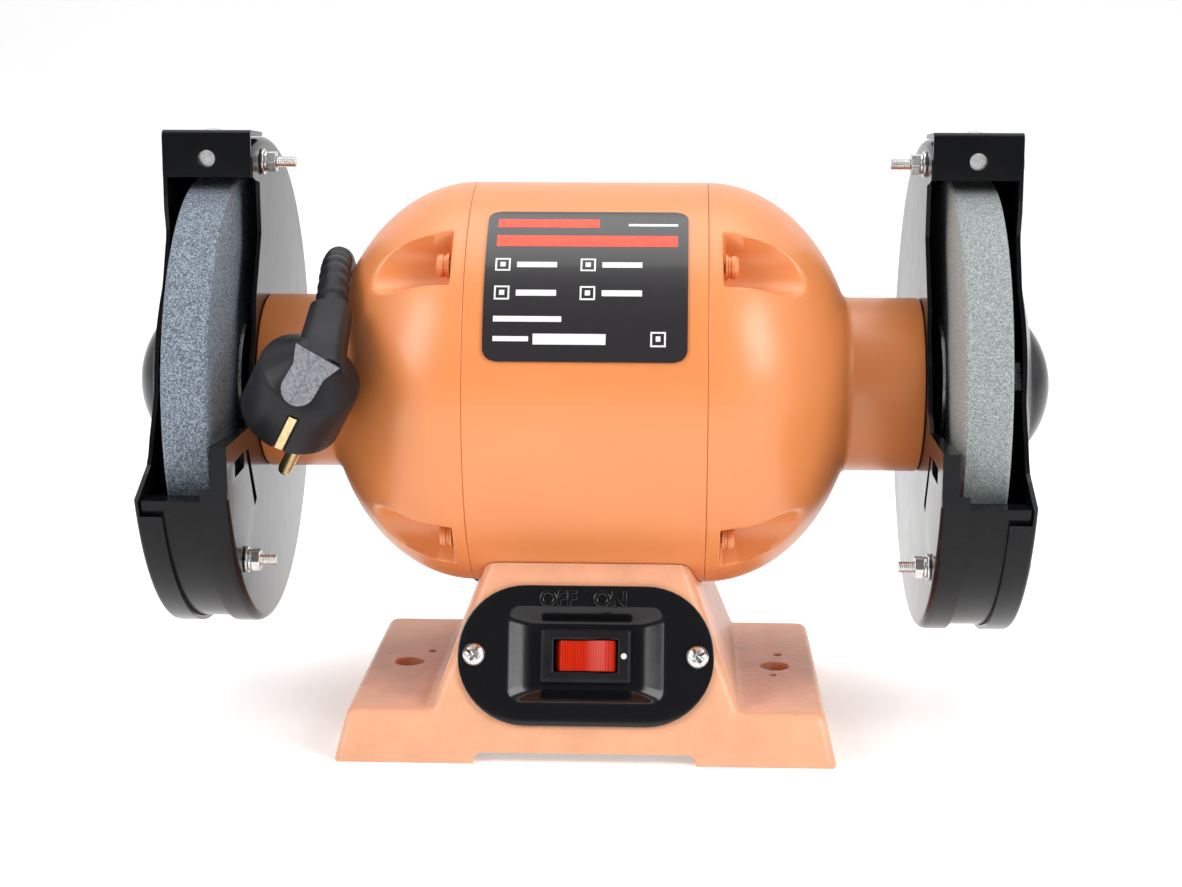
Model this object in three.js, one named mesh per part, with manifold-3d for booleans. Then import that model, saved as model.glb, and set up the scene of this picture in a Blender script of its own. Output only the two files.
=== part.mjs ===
// Bench grinder for 150 mm wheels: a closed motor on a cast base, a guarded wheel at each end of the shaft,
// a rocker switch in the base's front face, and a mains cord hung over the left collar.
// Millimetres, +Z up, +X to the operator's right, the operator stands at -Y.
// The machine is drawn about its shaft (the X axis), then lifted onto its feet.
import * as THREE from "three";
import { mergeVertices } from "three/addons/utils/BufferGeometryUtils.js";
import Module from "manifold-3d";

const wasm = await Module();
wasm.setup();

// ---- driving dimensions ----
const GAP = 0.3; // between pieces that touch
const SHAFT_HEIGHT = 125;
const WHEEL_RADIUS = 75;
const WHEEL_WIDTH = 16;
const WHEEL_START = 127; // X of the wheel's motor side
const BORE_RADIUS = 6.35;
const GUARD_RADIUS = 89;
const GUARD_INNER = 119; // X of the guard's motor-side face
const GUARD_OUTER = 151; // X of the outer cover's flat face
const SHEET = 1.5; // guard sheet thickness
const FRONT_LIP = 84; // how far the guard's lower front edge stands before the shaft
const MOTOR_RADIUS = 73;
const SEAM = 41.5; // X of the joint between motor shell and end bell
const BELL_DEPTH = 55.2; // half axis of the bell's elliptical end, beyond the seam
const COLLAR_RADIUS = 31.7;
const SLOPE = THREE.MathUtils.degToRad(18.5); // lean of the pedestal's front and back
const FACE_TOP = { y: 45, z: -58 }; // where the pedestal's front meets the motor
const CORD_RADIUS = 4;
const COIL = { x: -4, y: 150, inner: 33.6, outer: 50.4, height: 16.4 }; // four turns, two by two

const ROUND = 40; // facets on the large rounds
const SHAFT_Y = (FRONT_LIP - GUARD_RADIUS) / 2; // puts the origin under the middle of the machine

// ---- materials ----
function material(color, roughness, metalness) {
  return new THREE.MeshStandardMaterial({ color, roughness, metalness });
}
const orangePaint = material(0xe8742c, 0.35, 0.1);
const castPaint = material(0xeda06c, 0.6, 0.05);
const blackPaint = material(0x17181b, 0.3, 0.3);
const zinc = material(0xb9bcc0, 0.35, 0.9);
const steel = material(0x9a9da1, 0.3, 0.95);
const siliconSteel = material(0x6d6f73, 0.5, 0.8);
const copper = material(0xb4622f, 0.4, 0.8);
const coarseGrit = material(0x75828c, 0.95, 0);
const fineGrit = material(0x8b9690, 0.95, 0);
const blackPlastic = material(0x1b1b1d, 0.55, 0);
const rubber = material(0x202022, 0.7, 0);
const redPlastic = material(0xd8230f, 0.25, 0);
const canPlastic = material(0xd9d9d4, 0.5, 0);
const labelFilm = material(0x1d1e21, 0.35, 0.1);

// ---- helpers ----
function bare(geometry) {
  const copy = geometry.clone();
  copy.deleteAttribute("normal");
  copy.deleteAttribute("uv");
  return mergeVertices(copy, 1e-4);
}

function toManifold(geometry) {
  const merged = bare(geometry);
  return new wasm.Manifold(new wasm.Mesh({
    numProp: 3,
    vertProperties: Float32Array.from(merged.attributes.position.array),
    triVerts: Uint32Array.from(merged.index.array),
  }));
}

function toGeometry(manifold) {
  const mesh = manifold.getMesh();
  const geometry = new THREE.BufferGeometry();
  geometry.setAttribute("position", new THREE.BufferAttribute(Float32Array.from(mesh.vertProperties), 3));
  geometry.setIndex(new THREE.BufferAttribute(Uint32Array.from(mesh.triVerts), 1));
  return geometry;
}

function cut(geometry, ...tools) {
  return toGeometry(tools.reduce((left, tool) => left.subtract(toManifold(tool)), toManifold(geometry)));
}

function join(geometry, ...others) {
  return toGeometry(others.reduce((sum, other) => sum.add(toManifold(other)), toManifold(geometry)));
}

// The same piece on the other side of the machine.
function mirrored(geometry) {
  const copy = bare(geometry).scale(-1, 1, 1);
  const index = copy.index.array;
  for (let i = 0; i < index.length; i += 3) {
    [index[i + 1], index[i + 2]] = [index[i + 2], index[i + 1]];
  }
  return copy;
}

// Points of an arc about (a, b), from one angle to another in degrees.
function arc(a, b, radius, from, to, count) {
  const points = [];
  for (let i = 0; i <= count; i += 1) {
    const angle = THREE.MathUtils.degToRad(from + ((to - from) * i) / count);
    points.push([a + radius * Math.cos(angle), b + radius * Math.sin(angle)]);
  }
  return points;
}

// A turned piece about the X axis. The profile lists [x, radius]; off the axis it closes on itself.
function turned(profile, sides) {
  const points = profile.map(([x, radius]) => new THREE.Vector2(radius, x));
  if (THREE.ShapeUtils.area(points) < 0) {
    points.reverse();
  }
  const onAxis = points[0].x === 0 && points[points.length - 1].x === 0;
  if (!onAxis) {
    points.push(points[0].clone());
  }
  return new THREE.LatheGeometry(points, sides).rotateZ(-Math.PI / 2);
}

// An outline of [y, z] points drawn out along X.
function slab(outline, from, to) {
  const shape = new THREE.Shape(outline.map(([y, z]) => new THREE.Vector2(y, z)));
  const toAxes = new THREE.Matrix4().makeBasis(
    new THREE.Vector3(0, 1, 0), new THREE.Vector3(0, 0, 1), new THREE.Vector3(1, 0, 0));
  const geometry = new THREE.ExtrudeGeometry(shape, { depth: to - from, bevelEnabled: false });
  return geometry.applyMatrix4(toAxes).translate(from, 0, 0);
}

// A rod along X at (y, z); six sides make a hexagon head or nut.
function rod(radius, from, to, y, z, sides = 12) {
  return new THREE.CylinderGeometry(radius, radius, to - from, sides)
    .rotateZ(-Math.PI / 2).translate((from + to) / 2, y, z);
}

function box(x0, x1, y0, y1, z0, z1) {
  return new THREE.BoxGeometry(x1 - x0, y1 - y0, z1 - z0)
    .translate((x0 + x1) / 2, (y0 + y1) / 2, (z0 + z1) / 2);
}

// A rectangle about the origin with rounded corners.
function roundedRectangle(halfX, halfY, radius, steps = 3) {
  return [
    ...arc(halfX - radius, halfY - radius, radius, 0, 90, steps),
    ...arc(radius - halfX, halfY - radius, radius, 90, 180, steps),
    ...arc(radius - halfX, radius - halfY, radius, 180, 270, steps),
    ...arc(halfX - radius, radius - halfY, radius, 270, 360, steps),
  ];
}

// A solid through [z, outline] sections, from the lowest up, all with the same number of points.
function loft(sections) {
  const count = sections[0][1].length;
  const positions = sections.flatMap(([z, outline]) => outline.flatMap(([x, y]) => [x, y, z]));
  const index = [];
  for (let level = 0; level + 1 < sections.length; level += 1) {
    for (let i = 0; i < count; i += 1) {
      const here = level * count + i;
      const next = level * count + ((i + 1) % count);
      index.push(here, next, next + count, here, next + count, here + count);
    }
  }
  const flat = (outline) => outline.map(([x, y]) => new THREE.Vector2(x, y));
  const top = (sections.length - 1) * count;
  for (const [a, b, c] of THREE.ShapeUtils.triangulateShape(flat(sections[0][1]), [])) {
    index.push(a, c, b);
  }
  for (const [a, b, c] of THREE.ShapeUtils.triangulateShape(flat(sections[sections.length - 1][1]), [])) {
    index.push(top + a, top + b, top + c);
  }
  const geometry = new THREE.BufferGeometry();
  geometry.setAttribute("position", new THREE.Float32BufferAttribute(positions, 3));
  geometry.setIndex(index);
  return geometry;
}

function tube(points, radius, steps, sides = 8) {
  const path = new THREE.CatmullRomCurve3(points.map((point) => new THREE.Vector3(...point)));
  const section = new THREE.Shape(
    arc(0, 0, radius, 0, 360 - 360 / sides, sides - 1).map(([a, b]) => new THREE.Vector2(a, b)));
  return new THREE.ExtrudeGeometry(section, { extrudePath: path, steps, bevelEnabled: false });
}

function add(parent, name, geometry, look) {
  const mesh = new THREE.Mesh(geometry, look);
  mesh.name = name;
  parent.add(mesh);
  return mesh;
}

// Adds the right-hand piece and its mirror image.
function addPair(parent, name, geometry, look) {
  add(parent, `right_${name}`, geometry, look);
  add(parent, `left_${name}`, mirrored(geometry), look);
}

// ---- motor ----
const MOTOR_WALL = 3;
const SCREW_CIRCLE = 67; // radius at which the bell screws stand
const BELL_CORNERS = [45, 135, 225, 315];
const POCKET = { radius: 10.4, circle: 68.2, from: 47, to: 90 }; // a groove along X over each bell screw

function onCircle(radius, degrees) {
  const angle = THREE.MathUtils.degToRad(degrees);
  return [radius * Math.cos(angle), radius * Math.sin(angle)];
}

function motorShell() {
  const half = SEAM - GAP / 2;
  const inner = MOTOR_RADIUS - MOTOR_WALL;
  let shell = turned([[-half, inner], [-half, MOTOR_RADIUS], [half, MOTOR_RADIUS], [half, inner]], ROUND);
  for (const corner of BELL_CORNERS) {
    const [y, z] = onCircle(SCREW_CIRCLE, corner);
    for (const side of [-1, 1]) {
      const [from, to] = side < 0 ? [-half, -28] : [28, half];
      shell = join(shell, rod(5, from, to, y, z, 10));
      shell = cut(shell, rod(2.4, from - 1, to + 1, y, z, 8));
    }
  }
  return shell;
}

// The cast end bell: an elliptical dome that runs into a collar, with four pockets for its screws.
function endBell() {
  const start = SEAM + GAP / 2;
  const collarEnd = GUARD_INNER - GAP;
  const dome = [];
  for (let step = 0; step <= 5; step += 1) {
    const angle = (step / 5) * Math.acos(34 / MOTOR_RADIUS);
    dome.push([start + BELL_DEPTH * Math.sin(angle), MOTOR_RADIUS * Math.cos(angle)]);
  }
  const profile = [
    ...dome,
    [91.3, 32.6], [92.5, 31.9], [94, COLLAR_RADIUS],
    [collarEnd, COLLAR_RADIUS], [collarEnd, 11], [112, 11], [112, 17.8], [98, 17.8],
    [88, 30], [78, 46], [66, 54], [start, 54],
  ];
  let bell = turned(profile, ROUND);
  for (const corner of BELL_CORNERS) {
    const pocket = rod(POCKET.radius, POCKET.from, POCKET.to, ...onCircle(POCKET.circle, corner), 16);
    const screwHole = rod(2.4, start - 1, POCKET.from + 1, ...onCircle(SCREW_CIRCLE, corner), 8);
    bell = cut(bell, pocket, screwHole);
  }
  return bell;
}

function bellScrew(corner) {
  const [y, z] = onCircle(SCREW_CIRCLE, corner);
  const seat = POCKET.from + GAP;
  return join(rod(4, seat, seat + 3.2, y, z, 12), rod(2, 30, seat + 1, y, z, 8));
}

function buildMotor(group) {
  add(group, "motor_shell", motorShell(), orangePaint);
  addPair(group, "end_bell", endBell(), orangePaint);
  const cornerNames = ["upper_rear", "upper_front", "lower_front", "lower_rear"];
  BELL_CORNERS.forEach((corner, i) => {
    addPair(group, `bell_screw_${cornerNames[i]}`, bellScrew(corner), orangePaint);
  });
  const stackEnd = 27;
  add(group, "stator_core",
    turned([[-stackEnd, 38], [-stackEnd, 69.6], [stackEnd, 69.6], [stackEnd, 38]], 40), siliconSteel);
  addPair(group, "stator_winding",
    turned([[stackEnd + GAP, 41], [stackEnd + GAP, 58], [38, 56], [40, 50], [38, 43]], 24), copper);
  add(group, "rotor_core",
    turned([[-stackEnd, 10.3], [-stackEnd, 37.4], [stackEnd, 37.4], [stackEnd, 10.3]], 32), siliconSteel);
  addPair(group, "bearing",
    turned([[99, 7.8], [99, 17.5], [111, 17.5], [111, 7.8]], 24), steel);
  add(group, "nameplate", namePlate(), labelFilm);
}

// The data plate is bent round the shell, standing upright on the operator's side.
function namePlate() {
  const inner = MOTOR_RADIUS + GAP;
  const outer = inner + 0.5;
  return slab([...arc(0, 0, outer, 118, 166, 12), ...arc(0, 0, inner, 166, 118, 12)], -34.5, 34.5);
}

// ---- shaft and wheels ----
const WHEEL_END = WHEEL_START + WHEEL_WIDTH;

function shaft() {
  const half = [[0, 10], [97.5, 10], [98, 7.5], [122, 7.5], [122.2, BORE_RADIUS - 0.15], [160, BORE_RADIUS - 0.15]];
  const profile = [[-160, 0], ...half.slice(1).reverse().map(([x, r]) => [-x, r]), ...half.slice(1), [160, 0]];
  return turned(profile, 20);
}

function buildWheels(group) {
  add(group, "shaft", shaft(), steel);
  const bore = BORE_RADIUS + 0.15;
  const wheel = turned([
    [WHEEL_START, bore], [WHEEL_START, WHEEL_RADIUS - 0.5], [WHEEL_START + 0.5, WHEEL_RADIUS],
    [WHEEL_END - 0.5, WHEEL_RADIUS], [WHEEL_END, WHEEL_RADIUS - 0.5], [WHEEL_END, bore]], ROUND);
  add(group, "right_wheel", wheel, fineGrit);
  add(group, "left_wheel", mirrored(wheel), coarseGrit);
  const flange = (face, out) => turned([
    [face, bore], [face, 25], [face + out * 1.5, 25], [face + out * 4.2, 12], [face + out * 4.2, bore]], 28);
  addPair(group, "inner_flange", flange(WHEEL_START - GAP, -1), zinc);
  addPair(group, "outer_flange", flange(WHEEL_END + GAP, 1), zinc);
  addPair(group, "shaft_nut", cut(
    rod(11, WHEEL_END + 4.8, WHEEL_END + 12.8, 0, 0, 6),
    rod(bore, WHEEL_END + 4, WHEEL_END + 14, 0, 0, 20)), zinc);
}

// ---- guards ----
const BAND_RADIUS = GUARD_RADIUS - SHEET - GAP;
const LIP_HEIGHT = -29; // Z of the lip under the wheel's front
const STEP_HEIGHT = -10; // Z of the step above the lip
const PLATE_FRONT = 25.5; // how far the spark guard's back stands before the shaft
const BAND_FRONT = 19; // the band stops here, behind the spark guard's hole
const PLATE_LOW = 76;
const PLATE_HIGH = 92.5;
const BOLTS = { top: [-8, 80.5, 106.5], lower: [-56.5, -55, 108.2], rear: [78, -24, 107.5] }; // y, z, end X
const BOLT_RADIUS = 2;

// Everything in front of these edges is cut away, so that the wheel can be reached.
const UPPER_EDGE = [
  [-PLATE_FRONT, 100], [-PLATE_FRONT, PLATE_LOW], [-20, 74.5], [-13, 73.5], [-12, 55],
  ...arc(-56, 31, 30, 0, -40, 3), [-38, -4]];
const INNER_OPENING = [
  ...UPPER_EDGE, [-45, STEP_HEIGHT], [-FRONT_LIP, STEP_HEIGHT],
  [-FRONT_LIP, -45], [-100, -45], [-100, 100]];
const COVER_OPENING = [
  [-PLATE_FRONT, 100], [-PLATE_FRONT, 65], [-23.5, 57], [-26, 50], [-33, 35], [-41, 19], [-48.5, 4], [-54, -5],
  [-58, -11], [-61, -17], [-64, -20.5], [-70, -23], [-FRONT_LIP, LIP_HEIGHT],
  [-FRONT_LIP, -45], [-100, -45], [-100, 100]];
const COVER_RIM_TOP = -34.5; // the cover's rim starts below the lip
const LEVEL_SLOT = [[-71, -23], [-54.5, -22.5], [-54.5, -17], [-71, -17.5]]; // the two slots for a tool rest
const SLANTED_SLOT = [[-51, -17.5], [-37.5, -40], [-33.2, -38], [-46.5, -17.5]];
const LIP_DEPTH = 12; // how far the lip reaches back under the wheel

function boltHoles(geometry, from, to) {
  return Object.values(BOLTS).reduce(
    (left, [y, z]) => cut(left, rod(BOLT_RADIUS + GAP + 0.1, from, to, y, z, 10)), geometry);
}

function innerGuard() {
  const x = GUARD_INNER;
  const rimEnd = x + 9.5;
  const dish = turned([
    [x, 12], [x, GUARD_RADIUS - 3], [x + 0.9, GUARD_RADIUS - 0.9], [x + 3, GUARD_RADIUS], [rimEnd, GUARD_RADIUS],
    [rimEnd, GUARD_RADIUS - SHEET], [x + SHEET, GUARD_RADIUS - SHEET], [x + SHEET, 12]], ROUND);
  const opened = cut(dish, slab(INNER_OPENING, x - 5, rimEnd + 5));
  const flangeEnd = x + 5.8;
  const front = -FRONT_LIP + 0.05;
  const frontFlange = box(x + 0.1, flangeEnd, front, front + SHEET, LIP_HEIGHT + 1, STEP_HEIGHT - 0.1);
  const stepOutline = [[x + 0.1, front], [flangeEnd, front], [x + 2.5, -45], [x + 0.1, -45]];
  const stepFlange = loft([[STEP_HEIGHT - SHEET, stepOutline], [STEP_HEIGHT - 0.1, stepOutline]]);
  const restSlots = [LEVEL_SLOT, SLANTED_SLOT].map((outline) => slab(outline, x - 1, x + 3));
  return boltHoles(cut(join(opened, frontFlange, stepFlange), ...restSlots), x - 1, x + 3);
}

function guardBand() {
  const inner = BAND_RADIUS - SHEET;
  const lipAngle = 180 + THREE.MathUtils.radToDeg(Math.asin(-LIP_HEIGHT / BAND_RADIUS));
  const topAngle = 360 + THREE.MathUtils.radToDeg(Math.acos(-BAND_FRONT / BAND_RADIUS));
  const outline = [
    ...arc(0, 0, BAND_RADIUS, lipAngle, topAngle, 36),
    ...arc(0, 0, inner, topAngle, lipAngle + 1.2, 36),
    [LIP_DEPTH - FRONT_LIP, LIP_HEIGHT - SHEET], [LIP_DEPTH - FRONT_LIP, LIP_HEIGHT]];
  return slab(outline, GUARD_INNER + SHEET + GAP, GUARD_OUTER - SHEET - GAP);
}

// A dished cover whose middle rises in a cone to a spherical cap over the shaft nut.
const CAP = { apex: 166.5, curve: 34, radius: 23.5, shoulder: [156.3, 28], foot: 49 };

function outerCover() {
  const x = GUARD_OUTER;
  const outside = [0, 8, 16, CAP.radius]
    .map((radius) => [CAP.apex - CAP.curve + Math.sqrt(CAP.curve ** 2 - radius ** 2), radius]);
  outside.push(CAP.shoulder, [x, CAP.foot]);
  const inside = outside.map(([along, radius]) => [along - SHEET, radius]).reverse();
  const profile = [
    ...outside, [x, GUARD_RADIUS - 1.2], [x - 1.2, GUARD_RADIUS], [x - 9, GUARD_RADIUS],
    [x - 9, GUARD_RADIUS - SHEET], [x - SHEET, GUARD_RADIUS - SHEET], ...inside];
  const opened = cut(turned(profile, ROUND), slab(COVER_OPENING, x - 12, x + 20),
    box(x - 10, x - SHEET, -100, -70, COVER_RIM_TOP, 0));
  return boltHoles(opened, x - 3, x + 3);
}

// The bracket over the wheel's top front, with a hole for an eye shield's arm.
function sparkGuard() {
  const back = -PLATE_FRONT - GAP;
  const front = back - SHEET;
  const bracket = slab([
    [front, PLATE_LOW], [back, PLATE_LOW], [back, PLATE_HIGH - 1.7], [-4, 89.4], [-4, 90.9],
    [back, PLATE_HIGH], [front, PLATE_HIGH]], GUARD_INNER + GAP, GUARD_OUTER - GAP);
  const middle = (GUARD_INNER + GUARD_OUTER) / 2;
  return cut(bracket,
    new THREE.CylinderGeometry(3, 3, 10, 14).translate(middle, back, 82.5),
    new THREE.CylinderGeometry(2, 2, 10, 10).rotateX(Math.PI / 2).translate(middle, -16, 91));
}

// A pan-head M4 screw that comes through the outer cover and both guards.
function guardBolt([y, z, end]) {
  const seat = GUARD_OUTER + GAP;
  const head = turned([[seat, 0], [seat, 3.6], [seat + 1.6, 3.4], [seat + 2.6, 2.2], [seat + 2.6, 0]], 14);
  return join(head.translate(0, y, z), rod(BOLT_RADIUS, end, seat + 1, y, z, 8));
}

// Its nut, on a spring washer and a flat one.
function guardNut([y, z]) {
  const seat = GUARD_INNER - GAP;
  const nut = rod(4.05, seat - 5.2, seat - 1.9, y, z, 6);
  const stack = join(nut, rod(3.7, seat - 2, seat - 0.8, y, z, 12), rod(4.7, seat - 0.9, seat, y, z, 12));
  return cut(stack, rod(BOLT_RADIUS + GAP, seat - 8, seat + 1, y, z, 8));
}

function buildGuards(group) {
  addPair(group, "inner_guard", innerGuard(), blackPaint);
  addPair(group, "guard_band", guardBand(), blackPaint);
  addPair(group, "outer_cover", outerCover(), blackPaint);
  addPair(group, "spark_guard", sparkGuard(), blackPaint);
  for (const [place, position] of Object.entries(BOLTS)) {
    addPair(group, `guard_bolt_${place}`, guardBolt(position), zinc);
    addPair(group, `guard_nut_${place}`, guardNut(position), zinc);
  }
}

// ---- base ----
const FOOT_LOW = -SHAFT_HEIGHT;
const FOOT_HIGH = -107;
const ARCH = FOOT_LOW + 3.5; // lower edge between the feet
const HOLLOW_TOP = -79;
const WALL = 5;
const FOOT_HOLE = { x: 68.7, y: -2, radius: 5.1 };
const SMALL_HOLES = [[70.5, 13.5], [67.5, -13.5], [-61.5, 12.5]]; // moulder's holes beside the bolt holes
const GLAND = { x: -46, z: -113, start: 50, seat: 66.8, end: 98 };

// Half sizes of the pedestal at a height.
const pedestalX = (z) => 35.5 + (FACE_TOP.z - z) * 0.385;
const pedestalY = (z) => FACE_TOP.y + (FACE_TOP.z - z) * Math.tan(SLOPE);

// The switch stands on the pedestal's front: x across, y up the slope, z out of it.
const SWITCH_HEIGHT = -88.7;
function onSwitchFace(object) {
  object.position.set(0, -pedestalY(SWITCH_HEIGHT), SWITCH_HEIGHT);
  object.rotation.x = Math.PI / 2 - SLOPE;
  object.updateMatrix();
  return object;
}
const SWITCH_SCREW_X = 39.2;

function base() {
  const section = (z, inset, radius) => [z, roundedRectangle(pedestalX(z) - inset, pedestalY(z) - inset, radius)];
  const pedestal = loft([section(ARCH, 0, 4), section(-54, 0, 4)]);
  const foot = loft([
    [FOOT_LOW, roundedRectangle(88, pedestalY(FOOT_LOW), 3)],
    [FOOT_HIGH - 1.5, roundedRectangle(84, pedestalY(FOOT_HIGH - 1.5), 3)],
    [FOOT_HIGH, roundedRectangle(82.5, pedestalY(FOOT_HIGH) - 1, 3)]]);
  const hollow = loft([section(FOOT_LOW - 2, WALL, 3), section(HOLLOW_TOP, WALL, 3)]);
  const arch = slab([[-80, ARCH - 10], [80, ARCH - 10], [80, ARCH], [-80, ARCH]], -38.5, 38.5);
  const saddle = rod(MOTOR_RADIUS + GAP, -100, 100, 0, 0, ROUND);
  const face = onSwitchFace(new THREE.Object3D()).matrix;
  const window = loft([[-16, roundedRectangle(28, 19.5, 3)], [4, roundedRectangle(28, 19.5, 3)]]).applyMatrix4(face);
  const tools = [hollow, arch, saddle, window];
  for (const side of [-1, 1]) {
    tools.push(new THREE.CylinderGeometry(FOOT_HOLE.radius, FOOT_HOLE.radius, 60, 16)
      .rotateX(Math.PI / 2).translate(side * FOOT_HOLE.x, FOOT_HOLE.y, FOOT_LOW));
    tools.push(new THREE.CylinderGeometry(2.2, 2.2, 30, 8)
      .rotateX(Math.PI / 2).translate(side * SWITCH_SCREW_X, 0, 0).applyMatrix4(face));
  }
  for (const [x, y] of SMALL_HOLES) {
    tools.push(new THREE.CylinderGeometry(1.5, 1.5, 60, 8).rotateX(Math.PI / 2).translate(x, y, FOOT_LOW));
  }
  tools.push(new THREE.CylinderGeometry(6.3, 6.3, 40, 14).translate(GLAND.x, 66, GLAND.z));
  return cut(join(pedestal, foot), ...tools);
}

function bottomCover() {
  const low = ARCH + GAP;
  const inset = WALL + 0.5;
  const outline = roundedRectangle(pedestalX(low + SHEET) - inset, pedestalY(low + SHEET) - inset, 3);
  return loft([[low, outline], [low + SHEET, outline]]);
}

function capacitor() {
  const radius = 14;
  const rest = ARCH + GAP + SHEET + GAP + radius;
  return rod(radius, -32, 32, 30, rest, 20);
}

// A stepped, tapering strain relief through the back of the base.
function strainRelief() {
  const { start, seat, end } = GLAND;
  const profile = [[start, 0], [start, 6], [seat, 6], [seat, 8], [seat + 2.5, 8], [seat + 3.5, 7],
    [end, 5], [end, 0]];
  return turned(profile, 16).rotateZ(Math.PI / 2).translate(GLAND.x, 0, GLAND.z);
}

// ---- switch, drawn on its own face ----
const PLATE_OUT = 1.8; // outer side of the switch plate
const PAN_FLOOR = -2.5;
const ROCKER = { halfX: 8, halfY: 5.4, edge: 4.6, middle: 3, pivot: -2.5, tilt: 9 };

function switchPlate() {
  const edge = roundedRectangle(45, 24.6, 24, 8);
  const sheet = loft([[GAP, edge], [PLATE_OUT, edge]]);
  const pan = loft([[PAN_FLOOR - SHEET, roundedRectangle(21, 13.4, 2)], [GAP + 0.1, roundedRectangle(27.5, 18, 3)]]);
  const recess = loft([
    [PAN_FLOOR, roundedRectangle(17.8, 11, 1.5)], [PLATE_OUT + 0.1, roundedRectangle(27.4, 17, 3)]]);
  const opening = box(-14.6, 14.6, -7.8, 7.8, -10, 5);
  const holes = [-1, 1].map((side) => new THREE.CylinderGeometry(2.2, 2.2, 10, 10)
    .rotateX(Math.PI / 2).translate(side * SWITCH_SCREW_X, 0, 0));
  return cut(join(sheet, pan), recess, opening, ...holes);
}

function switchScrew(side) {
  const pan = turned([[PLATE_OUT + GAP, 0], [PLATE_OUT + GAP, 4], [PLATE_OUT + 1.4, 3.7],
    [PLATE_OUT + 2.4, 2.2], [PLATE_OUT + 2.7, 0]], 16);
  const screw = join(pan, rod(1.9, -8, PLATE_OUT + 0.5, 0, 0, 8));
  return screw.rotateY(-Math.PI / 2).translate(side * SWITCH_SCREW_X, 0, 0);
}

function switchBody() {
  const seat = PAN_FLOOR + GAP;
  const bezel = loft([[seat, roundedRectangle(16, 9.4, 1)], [0.8, roundedRectangle(16, 9.4, 1)],
    [1.6, roundedRectangle(15, 8.4, 1)]]);
  const housing = box(-14.3, 14.3, -7.5, 7.5, -22, seat + 0.5);
  return cut(join(bezel, housing), box(-11.3, 11.3, -5.7, 5.7, -8, 5));
}

// The rocker rests with its left half pressed.
function rocker() {
  const { halfX, halfY, edge, middle, pivot, tilt } = ROCKER;
  const outline = [[halfX, edge], [0, middle], [-halfX, edge], [-10.8, 1], [-10.5, -3], [-6, -4],
    [6, -4], [10.5, -3], [10.8, 1]];
  return slab(outline, -halfY, halfY).rotateZ(-Math.PI / 2)
    .rotateY(THREE.MathUtils.degToRad(-tilt)).translate(0, 0, pivot);
}

function buildBase(group) {
  add(group, "base", base(), castPaint);
  add(group, "bottom_cover", bottomCover(), zinc);
  add(group, "capacitor", capacitor(), canPlastic);
  add(group, "strain_relief", strainRelief(), rubber);
  const face = onSwitchFace(new THREE.Group());
  add(face, "switch_plate", switchPlate(), blackPaint);
  add(face, "switch_body", switchBody(), blackPlastic);
  add(face, "switch_rocker", rocker(), redPlastic);
  add(face, "right_switch_screw", switchScrew(1), zinc);
  add(face, "left_switch_screw", switchScrew(-1), zinc);
  group.add(face);
}

// ---- cord, in the frame that stands on the floor ----
const RELIEF_END = GLAND.end + SHAFT_Y;
const GLAND_HEIGHT = SHAFT_HEIGHT + GLAND.z;

// From the strain relief back to the coil's lowest turn.
const CORD_TAIL = [
  [GLAND.x, RELIEF_END + GAP, GLAND_HEIGHT], [GLAND.x, RELIEF_END + 3, GLAND_HEIGHT],
  [GLAND.x, 104, 10.6], [GLAND.x, 110, 8.4], [GLAND.x, 115.6, 6.6]];

// From the coil's top turn up behind the motor and forward over the left collar to the plug.
const CORD_LEAD = [
  [-32, 102.5, 18], [-46, 96, 25], [-60, 87, 39], [-74, 74, 66], [-84, 60, 96], [-90, 46, 125],
  [-93, 32, 148], [-93, 16, 164], [-92, 0, 169.6], [-91.2, -9, 170.4], [-91.1, -12, 170.4]];

// Middle of the plug's pin face; its axis leans off the level and its back is turned towards the operator.
const PLUG = { x: -101.6, y: -64, z: 121.8, lean: 60, turn: 32, radius: 17.7 };
const PLUG_STEM = [[-88, -82, 139], [-88, -71, 147.5], [-88, -55, 156]];
const PLUG_SLEEVE = [[-88, -57, 154.5], [-88.5, -46, 162.5], [-90, -30, 168.6], [-91.1, -16, 170.4], [-91.1, -12.5, 170.4]];

function cordCoil() {
  const { x, y, inner, outer, height } = COIL;
  const low = 0.1;
  const profile = [
    [low, inner + 2.5], [low, outer - 2.5], [low + 3, outer], [height - 3, outer],
    [height, outer - 2.5], [height, inner + 2.5], [height - 3, inner], [low + 3, inner]];
  return turned(profile, 36).rotateY(-Math.PI / 2).translate(x, y, 0);
}

// An angled two-pin mains plug with a bent sleeve for the cord.
function plug() {
  const body = turned([
    [0, 0], [0, PLUG.radius - 1.3], [1.3, PLUG.radius], [22, PLUG.radius], [32, 8], [33, 7], [33, 0]], 20);
  const pins = [50, 230].map((degrees) => rod(2.4, -19, 1, ...onCircle(9.5, degrees), 10));
  const head = join(body, ...pins)
    .rotateZ(THREE.MathUtils.degToRad(-PLUG.turn))
    .rotateY(THREE.MathUtils.degToRad(-PLUG.lean))
    .translate(PLUG.x, PLUG.y, PLUG.z);
  return join(head, tube(PLUG_STEM, 7.6, 5, 10), tube(PLUG_SLEEVE, 6, 8, 10));
}

function buildCord(group) {
  add(group, "cord_tail", tube(CORD_TAIL, CORD_RADIUS, 6), rubber);
  add(group, "cord_coil", cordCoil(), rubber);
  add(group, "cord_lead", tube(CORD_LEAD, CORD_RADIUS, 28), rubber);
  add(group, "plug", plug(), blackPlastic);
}

const machine = new THREE.Group();
machine.position.set(0, SHAFT_Y, SHAFT_HEIGHT);
buildBase(machine);
buildMotor(machine);
buildWheels(machine);
buildGuards(machine);

const grinder = new THREE.Group();
grinder.add(machine);
buildCord(grinder);
export default grinder;
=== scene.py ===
import math

import bpy
import bmesh
from mathutils import Matrix, Vector


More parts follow.
